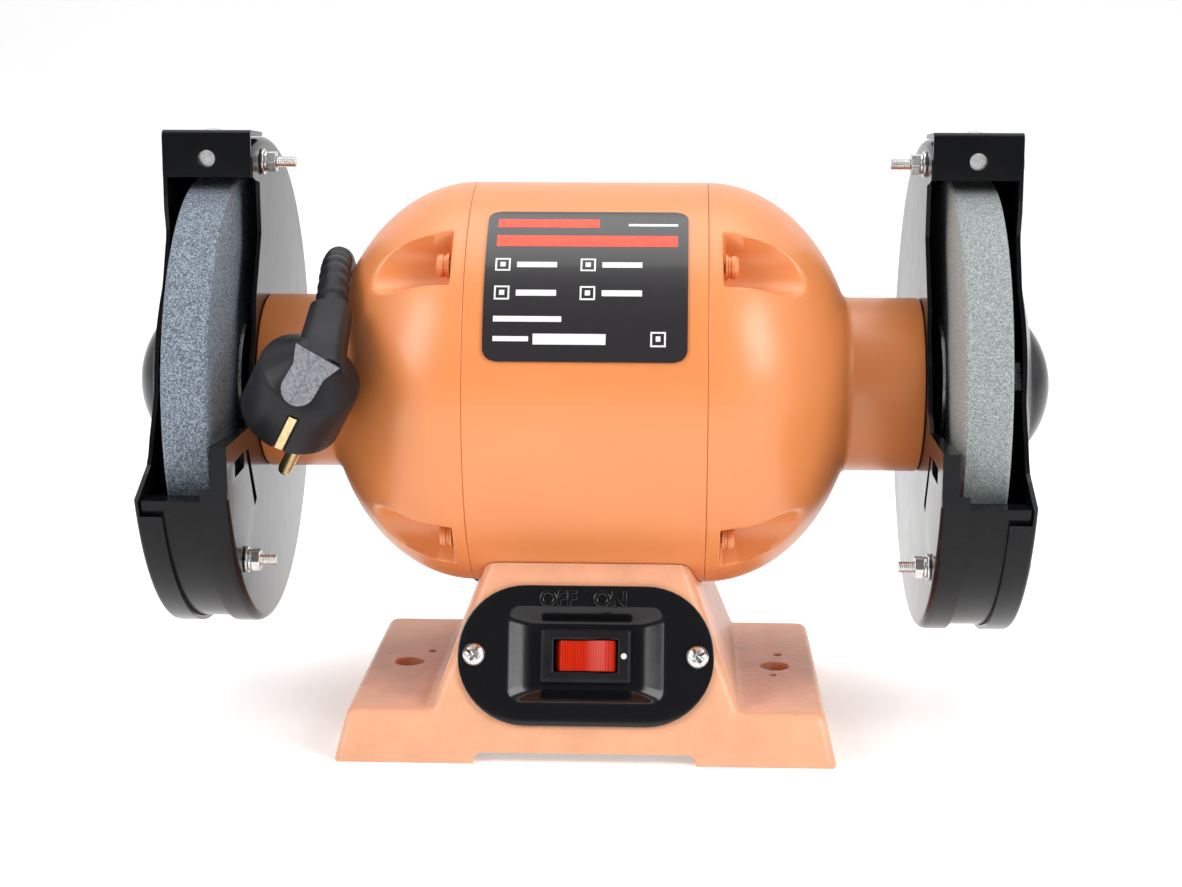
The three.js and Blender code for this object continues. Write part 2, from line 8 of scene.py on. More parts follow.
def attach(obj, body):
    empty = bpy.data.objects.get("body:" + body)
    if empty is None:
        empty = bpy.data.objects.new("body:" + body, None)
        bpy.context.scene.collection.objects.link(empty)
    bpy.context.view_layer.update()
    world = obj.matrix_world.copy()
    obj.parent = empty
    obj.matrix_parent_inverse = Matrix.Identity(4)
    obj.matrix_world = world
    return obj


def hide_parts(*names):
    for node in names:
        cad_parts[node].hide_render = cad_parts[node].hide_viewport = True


# Bench grinder. Lengths are millimetres and angles degrees, unless a name or a comment says otherwise.
# The machine is drawn about its shaft (the X axis) and the right-hand pieces are mirrored for the left.

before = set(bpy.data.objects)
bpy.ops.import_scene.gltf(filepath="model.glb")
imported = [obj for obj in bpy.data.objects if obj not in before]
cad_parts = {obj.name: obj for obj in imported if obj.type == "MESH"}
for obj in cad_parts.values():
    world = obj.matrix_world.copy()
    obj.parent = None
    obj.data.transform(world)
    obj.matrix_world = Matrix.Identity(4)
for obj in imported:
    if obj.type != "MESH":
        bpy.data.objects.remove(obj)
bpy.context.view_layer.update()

# ---- driving dimensions, the same as the CAD model's ----
GAP = 0.3
SHAFT_HEIGHT = 125
WHEEL_RADIUS = 75
WHEEL_START = 127
WHEEL_END = 143
BORE_RADIUS = 6.35
GUARD_RADIUS = 89
GUARD_INNER = 119
GUARD_OUTER = 151
SHEET = 1.5
FRONT_LIP = 84
MOTOR_RADIUS = 73
SEAM = 41.5
BELL_DEPTH = 55.2
COLLAR_RADIUS = 31.7
SLOPE = math.radians(18.5)  # the pedestal's sides, off the upright
FACE_TOP_Y = 45
FACE_TOP_Z = -58
SHAFT_Y = (FRONT_LIP - GUARD_RADIUS) / 2
CORD_RADIUS = 4


def turning(degrees, axis):
    return Matrix.Rotation(math.radians(degrees), 4, axis)


def shift(x, y, z):
    return Matrix.Translation((x, y, z))


METRES = Matrix.Scale(0.001, 4)
MACHINE = METRES @ shift(0, SHAFT_Y, SHAFT_HEIGHT)
SIDES = {"right": MACHINE, "left": MACHINE @ Matrix.Scale(-1, 4, (1, 0, 0))}
ROUND = 144  # facets on the large rounds

scene = bpy.context.scene


# ---- camera ----
CAMERA_PLACE = (0.03016, -0.79921, 0.24994)  # metres
CAMERA_TURN = (-2.2, -10.52, 0.14)  # yaw, pitch and roll
CAMERA_LENS = 66.7


def make_camera():
    yaw, pitch, roll = (math.radians(angle) for angle in CAMERA_TURN)
    forward = Vector((math.sin(yaw) * math.cos(pitch), math.cos(yaw) * math.cos(pitch), math.sin(pitch)))
    level = Vector((math.cos(yaw), -math.sin(yaw), 0))
    upright = level.cross(forward)
    right = level * math.cos(roll) + upright * math.sin(roll)
    up = right.cross(forward)
    data = bpy.data.cameras.new("camera")
    data.sensor_width = 36
    data.lens = CAMERA_LENS
    camera = bpy.data.objects.new("camera", data)
    turn = Matrix((right, up, -forward)).transposed().to_4x4()
    camera.matrix_world = Matrix.Translation(CAMERA_PLACE) @ turn
    scene.collection.objects.link(camera)
    scene.camera = camera


make_camera()


# ---- materials: a Principled shader with procedural detail in the piece's own space ----
class Look:
    def __init__(self, name, color, roughness, metallic=0.0, coat=0.0, specular=0.5):
        self.material = bpy.data.materials.new(name)
        self.material.use_nodes = True
        self.nodes = self.material.node_tree.nodes
        self.links = self.material.node_tree.links
        self.shader = self.nodes["Principled BSDF"]
        values = {"Base Color": (*color, 1), "Roughness": roughness, "Metallic": metallic,
                  "Coat Weight": coat, "Coat Roughness": 0.08, "Specular IOR Level": specular}
        for socket, value in values.items():
            self.shader.inputs[socket].default_value = value
        self.coordinates = self.nodes.new("ShaderNodeTexCoord").outputs["Object"]

    def spaced(self, stretch):
        mapping = self.nodes.new("ShaderNodeMapping")
        mapping.inputs["Scale"].default_value = stretch
        self.links.new(self.coordinates, mapping.inputs["Vector"])
        return mapping.outputs["Vector"]

    # Soft clouds whose features are about `size` across.
    def noise(self, size, detail=3, stretch=(1, 1, 1)):
        texture = self.nodes.new("ShaderNodeTexNoise")
        texture.inputs["Scale"].default_value = 1000 / size
        texture.inputs["Detail"].default_value = detail
        self.links.new(self.spaced(stretch), texture.inputs["Vector"])
        return texture.outputs["Fac"]

    # Grains about `size` across, each with its own value.
    def grains(self, size, feature="F1", output="Distance"):
        texture = self.nodes.new("ShaderNodeTexVoronoi")
        texture.feature = feature
        texture.inputs["Scale"].default_value = 1000 / size
        self.links.new(self.coordinates, texture.inputs["Vector"])
        return texture.outputs[output]

    # Even ridges `size` apart along one axis, or round the X axis.
    def ridges(self, size, direction="X", rings=False):
        texture = self.nodes.new("ShaderNodeTexWave")
        texture.wave_type = "RINGS" if rings else "BANDS"
        if rings:
            texture.rings_direction = direction
        else:
            texture.bands_direction = direction
        texture.inputs["Scale"].default_value = 1000 * math.pi / 10 / size
        self.links.new(self.coordinates, texture.inputs["Vector"])
        return texture.outputs["Fac"]

    def ramp(self, source, stops):
        ramp = self.nodes.new("ShaderNodeValToRGB")
        points = ramp.color_ramp.elements
        while len(points) < len(stops):
            points.new(0.5)
        for point, (position, color) in zip(points, stops):
            point.position = position
            point.color = (*color, 1) if len(color) == 3 else color
        self.links.new(source, ramp.inputs["Fac"])
        return ramp.outputs["Color"]

    def color(self, source, *stops):
        self.links.new(self.ramp(source, stops), self.shader.inputs["Base Color"])
        return self

    def roughness(self, source, low, high):
        spread = self.nodes.new("ShaderNodeMapRange")
        spread.inputs["To Min"].default_value = low
        spread.inputs["To Max"].default_value = high
        self.links.new(source, spread.inputs["Value"])
        self.links.new(spread.outputs["Result"], self.shader.inputs["Roughness"])
        return self

    # Adds a height of `depth` to the surface's bumps.
    def bump(self, source, depth, strength=1.0):
        bump = self.nodes.new("ShaderNodeBump")
        bump.inputs["Distance"].default_value = depth / 1000
        bump.inputs["Strength"].default_value = strength
        self.links.new(source, bump.inputs["Height"])
        normal = self.shader.inputs["Normal"]
        if normal.is_linked:
            self.links.new(normal.links[0].from_socket, bump.inputs["Normal"])
        self.links.new(bump.outputs["Normal"], normal)
        return self


def shade(color, factor):
    return tuple(min(1, channel * factor) for channel in color)


ORANGE = (0.76, 0.25, 0.075)
orange = Look("orange_paint", ORANGE, 0.36, coat=0.4)
orange.color(orange.noise(60), (0.3, shade(ORANGE, 0.96)), (0.7, shade(ORANGE, 1.04)))
orange.shader.inputs["Coat Roughness"].default_value = 0.3
orange.roughness(orange.noise(14), 0.32, 0.42)
orange.bump(orange.noise(2.2, 2), 0.02, 0.5)

CAST = (0.82, 0.41, 0.24)
cast = Look("cast_paint", CAST, 0.42, coat=0.15)
cast.color(cast.noise(12, 5), (0.3, shade(CAST, 0.93)), (0.68, shade(CAST, 1.06)))
cast.roughness(cast.noise(5), 0.34, 0.52)
cast.bump(cast.noise(3.4, 4), 0.55, 0.9)
cast.bump(cast.noise(1.0, 2), 0.12, 0.7)

BLACK = (0.005, 0.0053, 0.0065)
black = Look("black_paint", BLACK, 0.17, specular=0.17)
black.color(black.noise(30), (0.3, shade(BLACK, 0.85)), (0.7, shade(BLACK, 1.3)))
black.roughness(black.noise(9), 0.13, 0.21)
black.bump(black.noise(2.5, 2), 0.015, 0.5)

enamel = Look("black_enamel", BLACK, 0.14, specular=0.4)
enamel.roughness(enamel.noise(9), 0.11, 0.18)
enamel.bump(enamel.noise(2.5, 2), 0.015, 0.5)

zinc = Look("zinc", (0.7, 0.7, 0.69), 0.28, 1.0)
zinc.color(zinc.noise(1.6), (0.3, (0.6, 0.6, 0.6)), (0.7, (0.8, 0.8, 0.78)))
zinc.roughness(zinc.noise(0.9), 0.18, 0.42)

steel = Look("steel", (0.5, 0.51, 0.52), 0.3, 1.0)
steel.roughness(steel.noise(3, 3, (1, 0.1, 0.1)), 0.2, 0.4)
steel.bump(steel.ridges(0.35), 0.01, 0.4)

core = Look("core_steel", (0.2, 0.2, 0.21), 0.5, 0.9)
core.bump(core.ridges(1.0), 0.15, 0.8)
core.roughness(core.noise(4), 0.4, 0.6)

copper = Look("copper", (0.55, 0.19, 0.05), 0.3, 0.7, coat=0.6)
copper.color(copper.noise(4), (0.3, (0.42, 0.12, 0.03)), (0.7, (0.62, 0.24, 0.07)))
copper.bump(copper.ridges(0.9, "X", rings=True), 0.25, 0.9)

LEFT_GRIT = (0.15, 0.18, 0.215)
coarse_grit = Look("coarse_grit", LEFT_GRIT, 0.85)
coarse_grit.color(coarse_grit.grains(0.42, output="Color"), (0.15, shade(LEFT_GRIT, 0.45)),
                  (0.5, LEFT_GRIT), (0.85, shade(LEFT_GRIT, 2.1)))
coarse_grit.bump(coarse_grit.grains(0.42), 0.18, 0.9)
coarse_grit.bump(coarse_grit.noise(2.4, 4), 0.2, 0.7)

RIGHT_GRIT = (0.27, 0.3, 0.295)
fine_grit = Look("fine_grit", RIGHT_GRIT, 0.85)
fine_grit.color(fine_grit.grains(0.34, output="Color"), (0.15, shade(RIGHT_GRIT, 0.6)),
                (0.5, RIGHT_GRIT), (0.85, shade(RIGHT_GRIT, 1.5)))
fine_grit.bump(fine_grit.grains(0.34), 0.12, 0.8)

RUBBER = (0.012, 0.012, 0.013)
rubber = Look("cord_rubber", RUBBER, 0.42, specular=0.4)
rubber.color(rubber.noise(6), (0.3, shade(RUBBER, 0.8)), (0.7, shade(RUBBER, 1.5)))
rubber.roughness(rubber.noise(3), 0.34, 0.52)

PLASTIC = (0.009, 0.009, 0.011)
plastic = Look("black_plastic", PLASTIC, 0.38, specular=0.22)
plastic.color(plastic.noise(8), (0.3, shade(PLASTIC, 0.8)), (0.7, shade(PLASTIC, 1.4)))
plastic.roughness(plastic.noise(1.2), 0.3, 0.48)
plastic.bump(plastic.noise(0.5, 2), 0.01, 0.6)

# Painted highlight: the grip pad is the plug's black plastic, drawn in a lighter grey where its flat facet
# catches the light.
grip = Look("grip_painted_highlight", (0.26, 0.26, 0.28), 0.5)
grip.color(grip.noise(1.0, 5), (0.3, (0.13, 0.13, 0.15)), (0.7, (0.3, 0.3, 0.33)))
grip.bump(grip.noise(0.6, 3), 0.06, 0.7)

red = Look("red_plastic", (0.5, 0.014, 0.001), 0.2, specular=0.35)
red.color(red.ridges(0.9), (0.0, (0.4, 0.009, 0.0008)), (1.0, (0.6, 0.024, 0.0015)))
red.roughness(red.noise(4), 0.16, 0.26)

film = Look("label_film", (0.018, 0.016, 0.018), 0.3, coat=0.3)
film.roughness(film.noise(2.5), 0.26, 0.38)

white_print = Look("white_print", (0.8, 0.8, 0.8), 0.45)
white_print.color(white_print.noise(0.8), (0.3, (0.68, 0.68, 0.68)), (0.7, (0.86, 0.86, 0.86)))
red_print = Look("red_print", (0.8, 0.06, 0.025), 0.4)
red_print.color(red_print.noise(1.5), (0.3, (0.7, 0.05, 0.02)), (0.7, (0.84, 0.08, 0.03)))

brass = Look("brass", (0.75, 0.58, 0.3), 0.28, 1.0)
brass.color(brass.noise(2), (0.3, (0.6, 0.45, 0.22)), (0.7, (0.82, 0.66, 0.38)))
brass.roughness(brass.noise(0.8), 0.2, 0.42)

can = Look("capacitor_plastic", (0.7, 0.7, 0.66), 0.45)
can.color(can.noise(5), (0.3, (0.64, 0.64, 0.6)), (0.7, (0.74, 0.74, 0.7)))
can.bump(can.noise(0.6), 0.02, 0.5)

pale_floor = Look("pale_floor", (0.93, 0.93, 0.93), 0.6)
pale_floor.shader.inputs["Emission Color"].default_value = (1, 1, 1, 1)
pale_floor.shader.inputs["Emission Strength"].default_value = 0.27
pale_floor.roughness(pale_floor.noise(300), 0.55, 0.65)


# ---- shapes: each returns vertices and faces ----
def arc(a, b, radius, start, stop, count):
    angles = [math.radians(start + (stop - start) * i / count) for i in range(count + 1)]
    return [(a + radius * math.cos(t), b + radius * math.sin(t)) for t in angles]


def joined(*shapes):
    vertices, faces = [], []
    for shape_vertices, shape_faces in shapes:
        offset = len(vertices)
        vertices += shape_vertices
        faces += [[i + offset for i in face] for face in shape_faces]
    return vertices, faces


def moved(shape, matrix):
    vertices, faces = shape
    return [matrix @ Vector(v) for v in vertices], faces


# Rings of points, each joined to the next; the first and last are closed, or joined when `looped`.
def skin(rings, looped=False):
    count = len(rings[0])
    vertices = [Vector(point) for ring in rings for point in ring]
    faces = []
    for level in range(len(rings) if looped else len(rings) - 1):
        low, high = level * count, (level + 1) % len(rings) * count
        for i in range(count):
            j = (i + 1) % count
            faces.append([low + i, low + j, high + j, high + i])
    if not looped:
        faces.append(list(range(count))[::-1])
        faces.append([(len(rings) - 1) * count + i for i in range(count)])
    return vertices, faces


# Turned about X. The profile lists (x, radius), and closes on itself unless it starts and ends on the axis.
def turned(profile, sides=ROUND, y=0, z=0):
    rings = [[(x, y + r * math.cos(2 * math.pi * i / sides), z + r * math.sin(2 * math.pi * i / sides))
              for i in range(sides)] for x, r in profile]
    solid = profile[0][1] == 0
    if solid:
        rings = rings[1:-1]
    return skin(rings, looped=not solid)


def rod(radius, start, end, y=0, z=0, sides=32):
    return turned([(start, 0), (start, radius), (end, radius), (end, 0)], sides, y, z)


# An outline of (y, z) points drawn out along X.
def slab(outline, start, end):
    return skin([[(x, y, z) for y, z in outline] for x in (start, end)])


def box(x0, x1, y0, y1, z0, z1):
    return slab([(y0, z0), (y1, z0), (y1, z1), (y0, z1)], x0, x1)


def rounded(half_x, half_y, radius, steps=6):
    return [*arc(half_x - radius, half_y - radius, radius, 0, 90, steps),
            *arc(radius - half_x, half_y - radius, radius, 90, 180, steps),
            *arc(radius - half_x, radius - half_y, radius, 180, 270, steps),
            *arc(half_x - radius, radius - half_y, radius, 270, 360, steps)]


# A solid through (z, outline) sections.
def loft(sections, looped=False):
    return skin([[(x, y, z) for x, y in outline] for z, outline in sections], looped)


# Screw thread as close rings of crests and roots along X.
def thread(radius, start, end, y=0, z=0, pitch=1.0, depth=0.35, sides=28):
    profile = [(start, 0), (start, radius - depth)]
    turns = int((end - start) / pitch)
    for i in range(turns):
        at = start + i * pitch
        profile += [(at + pitch * 0.5, radius), (at + pitch * 0.98, radius - depth)]
    return turned([*profile, (end, radius - depth), (end, 0)], sides, y, z)


# ---- pieces ----
def clean(mesh):
    work = bmesh.new()
    work.from_mesh(mesh)
    bmesh.ops.remove_doubles(work, verts=work.verts, dist=1e-6)
    bmesh.ops.recalc_face_normals(work, faces=work.faces)
    work.to_mesh(mesh)
    work.free()


def bare_object(name, shape, place):
    vertices, faces = shape
    mesh = bpy.data.meshes.new(name)
    mesh.from_pydata([place @ Vector(v) for v in vertices], [], faces)
    clean(mesh)
    result = bpy.data.objects.new(name, mesh)
    scene.collection.objects.link(result)
    return result


# Cuts, joins or crosses an object with shapes, once and for all.
def carve(target, shape, place, operation="DIFFERENCE"):
    tool = bare_object("tool", shape, place)
    modifier = target.modifiers.new("carve", "BOOLEAN")
    modifier.operation = operation
    modifier.solver = "EXACT"
    modifier.use_self = True
    modifier.object = tool
    apply_modifiers(target)
    bpy.data.objects.remove(tool)


def apply_modifiers(target):
    made = bpy.data.meshes.new_from_object(target.evaluated_get(bpy.context.evaluated_depsgraph_get()))
    target.modifiers.clear()
    old = target.data
    target.data = made
    bpy.data.meshes.remove(old)


def dress(target, look, body="frame", nodes=(), edge=0.3, segments=2):
    mesh = target.data
    mesh.materials.clear()
    mesh.materials.append(look.material)
    mesh.shade_smooth()
    if edge:
        bevel = target.modifiers.new("edges", "BEVEL")
        bevel.width = edge / 1000
        bevel.segments = segments
        bevel.limit_method = "ANGLE"
        bevel.angle_limit = math.radians(32)
        bevel.harden_normals = True
        bevel.use_clamp_overlap = True
    else:
        mesh.set_sharp_from_angle(angle=math.radians(35))
    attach(target, body)
    if nodes:
        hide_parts(*nodes)
    return target


def add(name, shape, look, body="frame", nodes=(), place=MACHINE, cuts=(), **finish):
    made = bare_object(name, shape, place)
    for cut in cuts:
        carve(made, cut, place)
    return dress(made, look, body, nodes, **finish)


# The right-hand piece and its mirror image, which stand for right_NODE and left_NODE.
def add_pair(name, shape, look, body="frame", node=None, cuts=(), **finish):
    made = []
    for side, place in SIDES.items():
        stands_for = [f"{side}_{node or name}"]
        made.append(add(f"{side}_{name}_detail", shape, look, body, stands_for, place, cuts, **finish))
    return made


# ---- cord, in the frame that stands on the floor ----
GLAND_X = -46
GLAND_START = 50
GLAND_SEAT = 66.8
GLAND_END = 98
GLAND_Z = -113
RELIEF_END = GLAND_END + SHAFT_Y
GLAND_HEIGHT = SHAFT_HEIGHT + GLAND_Z
COIL_X = -4
COIL_Y = 150
COIL_INNER = 37.8
COIL_OUTER = 46.2
COIL_LOW = 4.2
COIL_HIGH = 12.4

CORD_TAIL = [
    (GLAND_X, RELIEF_END + GAP, GLAND_HEIGHT), (GLAND_X, RELIEF_END + 3, GLAND_HEIGHT),
    (GLAND_X, 104, 10.6), (GLAND_X, 110, 8.4), (GLAND_X, 115.6, 6.6), (-47.2, 126, 5.2), (-49, 138, 4.4)]
CORD_LEAD = [
    (-32, 102.5, 18), (-46, 96, 25), (-60, 87, 39), (-74, 74, 66), (-84, 60, 96), (-90, 46, 125),
    (-93, 32, 148), (-93, 16, 164), (-92, 0, 169.6), (-91.2, -9, 170.4), (-91.1, -12, 170.4)]
COIL_TURNS = 3.75
POINTS_PER_TURN = 20


def eased(value, start, end):
    t = min(1, max(0, (value - start) / (end - start)))
    return t * t * (3 - 2 * t)


# Two turns on the floor, outside then inside, and two on top of them, inside then outside.
def coil_point(turn):
    radius = COIL_OUTER + (COIL_INNER - COIL_OUTER) * (eased(turn, 0.8, 1) - eased(turn, 2.72, 2.9))
    height = COIL_LOW + (COIL_HIGH - COIL_LOW) * eased(turn, 1.84, 2.04)
    angle = math.pi - 2 * math.pi * turn
    return COIL_X + radius * math.cos(angle), COIL_Y + radius * math.sin(angle), height


def make_cord():
    count = int(COIL_TURNS * POINTS_PER_TURN)
    coil = [coil_point(i / POINTS_PER_TURN) for i in range(count + 1)]
    points = [Vector(p) for p in [*CORD_TAIL, *coil, *CORD_LEAD]]
    curve = bpy.data.curves.new("mains_cord", "CURVE")
    curve.dimensions = "3D"
    curve.bevel_depth = CORD_RADIUS / 1000
    curve.bevel_resolution = 5
    curve.resolution_u = 6
    curve.use_fill_caps = True
    spline = curve.splines.new("BEZIER")
    spline.bezier_points.add(len(points) - 1)
    for knot, point in zip(spline.bezier_points, points):
        knot.co = METRES @ point
        knot.handle_left_type = knot.handle_right_type = "AUTO"
    curve.materials.append(rubber.material)
    cord = bpy.data.objects.new("mains_cord", curve)
    scene.collection.objects.link(cord)
    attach(cord, "frame")
    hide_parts("cord_tail", "cord_coil", "cord_lead")
    length = sum((b - a).length for a, b in zip(points, points[1:]))
    return cord, length


cord, CORD_LENGTH = make_cord()

# The plug hangs before the left collar: its pins point down, to the left and away from the operator.
PLUG_FACE = Vector((-101.6, -64, 121.8))
PLUG_LEAN = 60  # its axis off the level
PLUG_TURN = 32  # its back turned towards the operator
PLUG_STEM = [(-88, -82, 139), (-88, -71, 147.5), (-88, -55, 156)]
PLUG_SLEEVE = [(-88, -57, 154.5), (-88.5, -46, 162.5), (-90, -30, 168.6), (-91.1, -16, 170.4),
               (-91.1, -12.5, 170.4)]
PLUG_PLACE = METRES @ Matrix.Translation(PLUG_FACE) @ turning(-PLUG_LEAN, "Y") @ turning(-PLUG_TURN, "Z")


# Points of a smooth curve through the given ones.
def smooth_path(points, steps):
    knots = [Vector(p) for p in points]
    knots = [2 * knots[0] - knots[1], *knots, 2 * knots[-1] - knots[-2]]
    path = []
    for a, b, c, d in zip(knots, knots[1:], knots[2:], knots[3:]):
        for i in range(steps):
            t = i / steps
            path.append(0.5 * (2 * b + (c - a) * t + (2 * a - 5 * b + 4 * c - d) * t ** 2
                               + (3 * b - a - 3 * c + d) * t ** 3))
    path.append(knots[-2])
    return path


# A tube along a path whose half sizes at a share of the way come from a function; a lower power is squarer.
def swept(path, size_at, sides=32, power=1.0):
    rings = []
    side = Vector((1, 0, 0))
    for i, point in enumerate(path):
        along = (path[min(i + 1, len(path) - 1)] - path[max(i - 1, 0)]).normalized()
        side = (side - along * side.dot(along)).normalized()
        up = along.cross(side)
        wide, high = size_at(i / (len(path) - 1))
        ring = []
        for k in range(sides):
            t = 2 * math.pi * k / sides
            across = side * wide * squared(math.cos(t), power)
            ring.append(point + across + up * high * squared(math.sin(t), power))
        rings.append(ring)
    return skin(rings)


def squared(value, power):
    return math.copysign(abs(value) ** power, value)


SLEEVE_RIBS = 7
RIBS_START = 0.08  # as a share of the sleeve's length
RIBS_END = 0.8


def sleeve_size(share):
    groove = 0
    if RIBS_START < share < RIBS_END:
        along = (share - RIBS_START) / (RIBS_END - RIBS_START)
        groove = 0.55 * (0.5 - 0.5 * math.cos(2 * math.pi * SLEEVE_RIBS * along))
    radius = 6.0 - 1.3 * share - groove
    return radius, radius


def stem_size(share):
    return 8.4 - 1.2 * share, 7.6 - 1.0 * share


GRIP_START = Vector((22.6, -18, 0))  # lower end of the finger grip on the plug's sloping back
GRIP_SLOPE = 47  # between the grip and the plug's axis
GRIP_LENGTH = 19.5
GRIP_HALF = 6.2
GRIP_FLARE = 8.8  # half the grip's width at the neck
PLUG_RADIUS = 17.7
STRIP_ANGLE = 10  # from the plug's side round to the earth strips
PIN_ANGLES = (50, 230)
PIN_CIRCLE = 9.5


# The grip's outline, along it and across it: round at the pins' end, flaring to the neck.
def grip_outline(inset):
    half = GRIP_HALF - inset
    end = GRIP_LENGTH - inset
    flare = [(GRIP_LENGTH * 0.66, -half), (end, -GRIP_FLARE + inset),
             (end, GRIP_FLARE - inset), (GRIP_LENGTH * 0.66, half)]
    return [*flare, *arc(GRIP_HALF, 0, half, 90, 270, 16)]


def make_plug():
    pieces = []
    head = turned([(0, 0), (0, 16.3), (0.5, 17.2), (1.6, PLUG_RADIUS), (21.6, PLUG_RADIUS), (23.2, 17.3),
                   (24.2, 16.5), (32, 8.4), (33, 7.2), (33.3, 6), (33.3, 0)], 96)
    strip_turn = turning(STRIP_ANGLE, "X")
    body = bare_object("plug_body", head, PLUG_PLACE)
    for side in (-1, 1):
        notch = moved(box(-1, 18.6, *sorted((side * 16.1, side * 20)), -2.2, 2.2), strip_turn)
        carve(body, notch, PLUG_PLACE)
    dress(body, plastic, nodes=["plug"], edge=0.5, segments=3)
    pieces.append(body)
    grip_place = PLUG_PLACE @ Matrix.Translation(GRIP_START) @ turning(GRIP_SLOPE, "Z")
    lay_flat = Matrix(((1, 0, 0, 0), (0, 0, -1, 0), (0, 1, 0, 0), (0, 0, 0, 1)))
    block = moved(loft([(-5.5, grip_outline(0)), (0.9, grip_outline(0))]), lay_flat)
    pieces.append(add("plug_grip_block", block, plastic, place=grip_place, edge=0.5, segments=3))
    # The pad carries the lighter grey painted highlight of the grip's flat facet.
    pad = moved(loft([(0.5, grip_outline(0.5)), (1.25, grip_outline(0.5))]), lay_flat)
    line = [(0, -0.2), (20, -0.2), (20, 0.2), (0, 0.2)]
    mould_line = moved(loft([(1.0, line), (2.0, line)]), lay_flat)
    pieces.append(add("plug_grip", pad, grip, place=grip_place, cuts=[mould_line], edge=0.15))
    stem = swept(smooth_path(PLUG_STEM, 8), stem_size, 40, 0.6)
    pieces.append(add("plug_stem", stem, plastic, place=METRES, edge=0.6, segments=3))
    sleeve = swept(smooth_path(PLUG_SLEEVE, 22), sleeve_size, 40)
    pieces.append(add("plug_sleeve", sleeve, plastic, place=METRES, edge=0))
    strips = joined(*[moved(box(1.0, 17.4, *sorted((side * 16, side * 17.4)), -1.5, 1.5), strip_turn)
                      for side in (-1, 1)])
    pieces.append(add("plug_earth_strips", strips, brass, place=PLUG_PLACE, edge=0.25))
    for number, angle in enumerate(PIN_ANGLES, 1):
        y = PIN_CIRCLE * math.cos(math.radians(angle))
        z = PIN_CIRCLE * math.sin(math.radians(angle))
        pin = turned([(-19, 0), (-19, 1.2), (-18.2, 2.1), (-17, 2.4), (1, 2.4), (1, 0)], 32, y, z)
        pieces.append(add(f"plug_pin_{number}", pin, brass, place=PLUG_PLACE, edge=0))
    return pieces


plug_pieces = make_plug()


# ---- motor ----
BELL_CORNERS = {"upper_rear": 45, "upper_front": 135, "lower_front": 225, "lower_rear": 315}
SCREW_CIRCLE = 67
POCKET_RADIUS = 10.4
POCKET_CIRCLE = 68.2
POCKET_START = 47
SEAM_GAP = 0.04  # the shell and the bells almost touch


def on_circle(radius, degrees):
    angle = math.radians(degrees)
    return radius * math.cos(angle), radius * math.sin(angle)


def make_shell():
    half = SEAM - SEAM_GAP
    inner = MOTOR_RADIUS - 3
    shell = bare_object("motor_shell_detail", turned(
        [(-half, inner), (-half, MOTOR_RADIUS), (half, MOTOR_RADIUS), (half, inner)]), MACHINE)
    ends = [(sign * 28, sign * half) for sign in (-1, 1)]
    places = [on_circle(SCREW_CIRCLE, corner) for corner in BELL_CORNERS.values()]
    lugs = joined(*[rod(5, *sorted(end), *place) for end in ends for place in places])
    drilled = [sorted((end[0] * 0.95, end[1] * 1.05)) for end in ends]
    holes = joined(*[rod(2.4, *span, *place) for span in drilled for place in places])
    carve(shell, lugs, MACHINE, "UNION")
    carve(shell, holes, MACHINE)
    dress(shell, orange, nodes=["motor_shell"], edge=0.3)


# Distance from the shaft to a bell pocket's floor at an angle from its middle.
def pocket_floor(offset):
    across = POCKET_CIRCLE * math.sin(offset)
    if abs(across) < POCKET_RADIUS:
        return POCKET_CIRCLE * math.cos(offset) - math.sqrt(POCKET_RADIUS ** 2 - across ** 2)
    return POCKET_CIRCLE + 12 * (abs(across) - POCKET_RADIUS)


# The smaller of two numbers, with the corner between them rounded off.
def soft_min(a, b, blend):
    h = max(0, blend - abs(a - b)) / blend
    return min(a, b) - h * h * blend / 4


def bell_radius(x, dome, angle):
    radius = dome
    for corner in BELL_CORNERS.values():
        offset = (angle - math.radians(corner) + math.pi) % (2 * math.pi) - math.pi
        if abs(offset) < math.radians(14):
            cut = soft_min(dome, pocket_floor(offset), 1.6)
            radius = dome + (min(cut, dome) - dome) * eased(x, POCKET_START - 0.7, POCKET_START + 0.5)
    return radius


def make_bells():
    start = SEAM + SEAM_GAP
    end_angle = math.acos(34 / MOTOR_RADIUS)
    dome = [(start + BELL_DEPTH * math.sin(t), MOTOR_RADIUS * math.cos(t))
            for t in (end_angle * i / 48 for i in range(49))]
    wall_rows = [(x, MOTOR_RADIUS * math.sqrt(1 - ((x - start) / BELL_DEPTH) ** 2))
                 for x in (46.1, 46.4, 46.7, 46.9, 47.1, 47.3, 47.6)]
    neck = [(90.9, 33.1), (91.4, 32.5), (92, 32.1), (92.8, 31.8), (94, COLLAR_RADIUS)]
    collar_end = GUARD_INNER - GAP
    collar = [(collar_end - 0.6, COLLAR_RADIUS), (collar_end, COLLAR_RADIUS - 0.5)]
    outside = [(start, MOTOR_RADIUS - 0.3), (start + 0.3, MOTOR_RADIUS - 0.02),
               *sorted([*dome[1:], *wall_rows]), *neck, *collar]
    inside = [(collar_end, 11), (112, 11), (112, 17.8), (98, 17.8),
              (88, 30), (78, 46), (66, 54), (start, 54)]
    angles = []
    for quarter in range(4):
        middle = 45 + 90 * quarter
        offsets = [-45, -41, -37, -33, -29, -25, -21, -17, -13, -11]
        fine = [-10 + 0.5 * i for i in range(41)]
        angles += [middle + a for a in [*offsets, *fine, *[-a for a in reversed(offsets[1:])]]]
    rings = [[(x, *on_circle(bell_radius(x, r, math.radians(a)), a)) for a in angles] for x, r in outside]
    rings += [[(x, *on_circle(r, a)) for a in angles] for x, r in inside]
    for bell in add_pair("end_bell", skin(rings, looped=True), orange, edge=0):
        bell.data.set_sharp_from_angle(angle=math.radians(50))


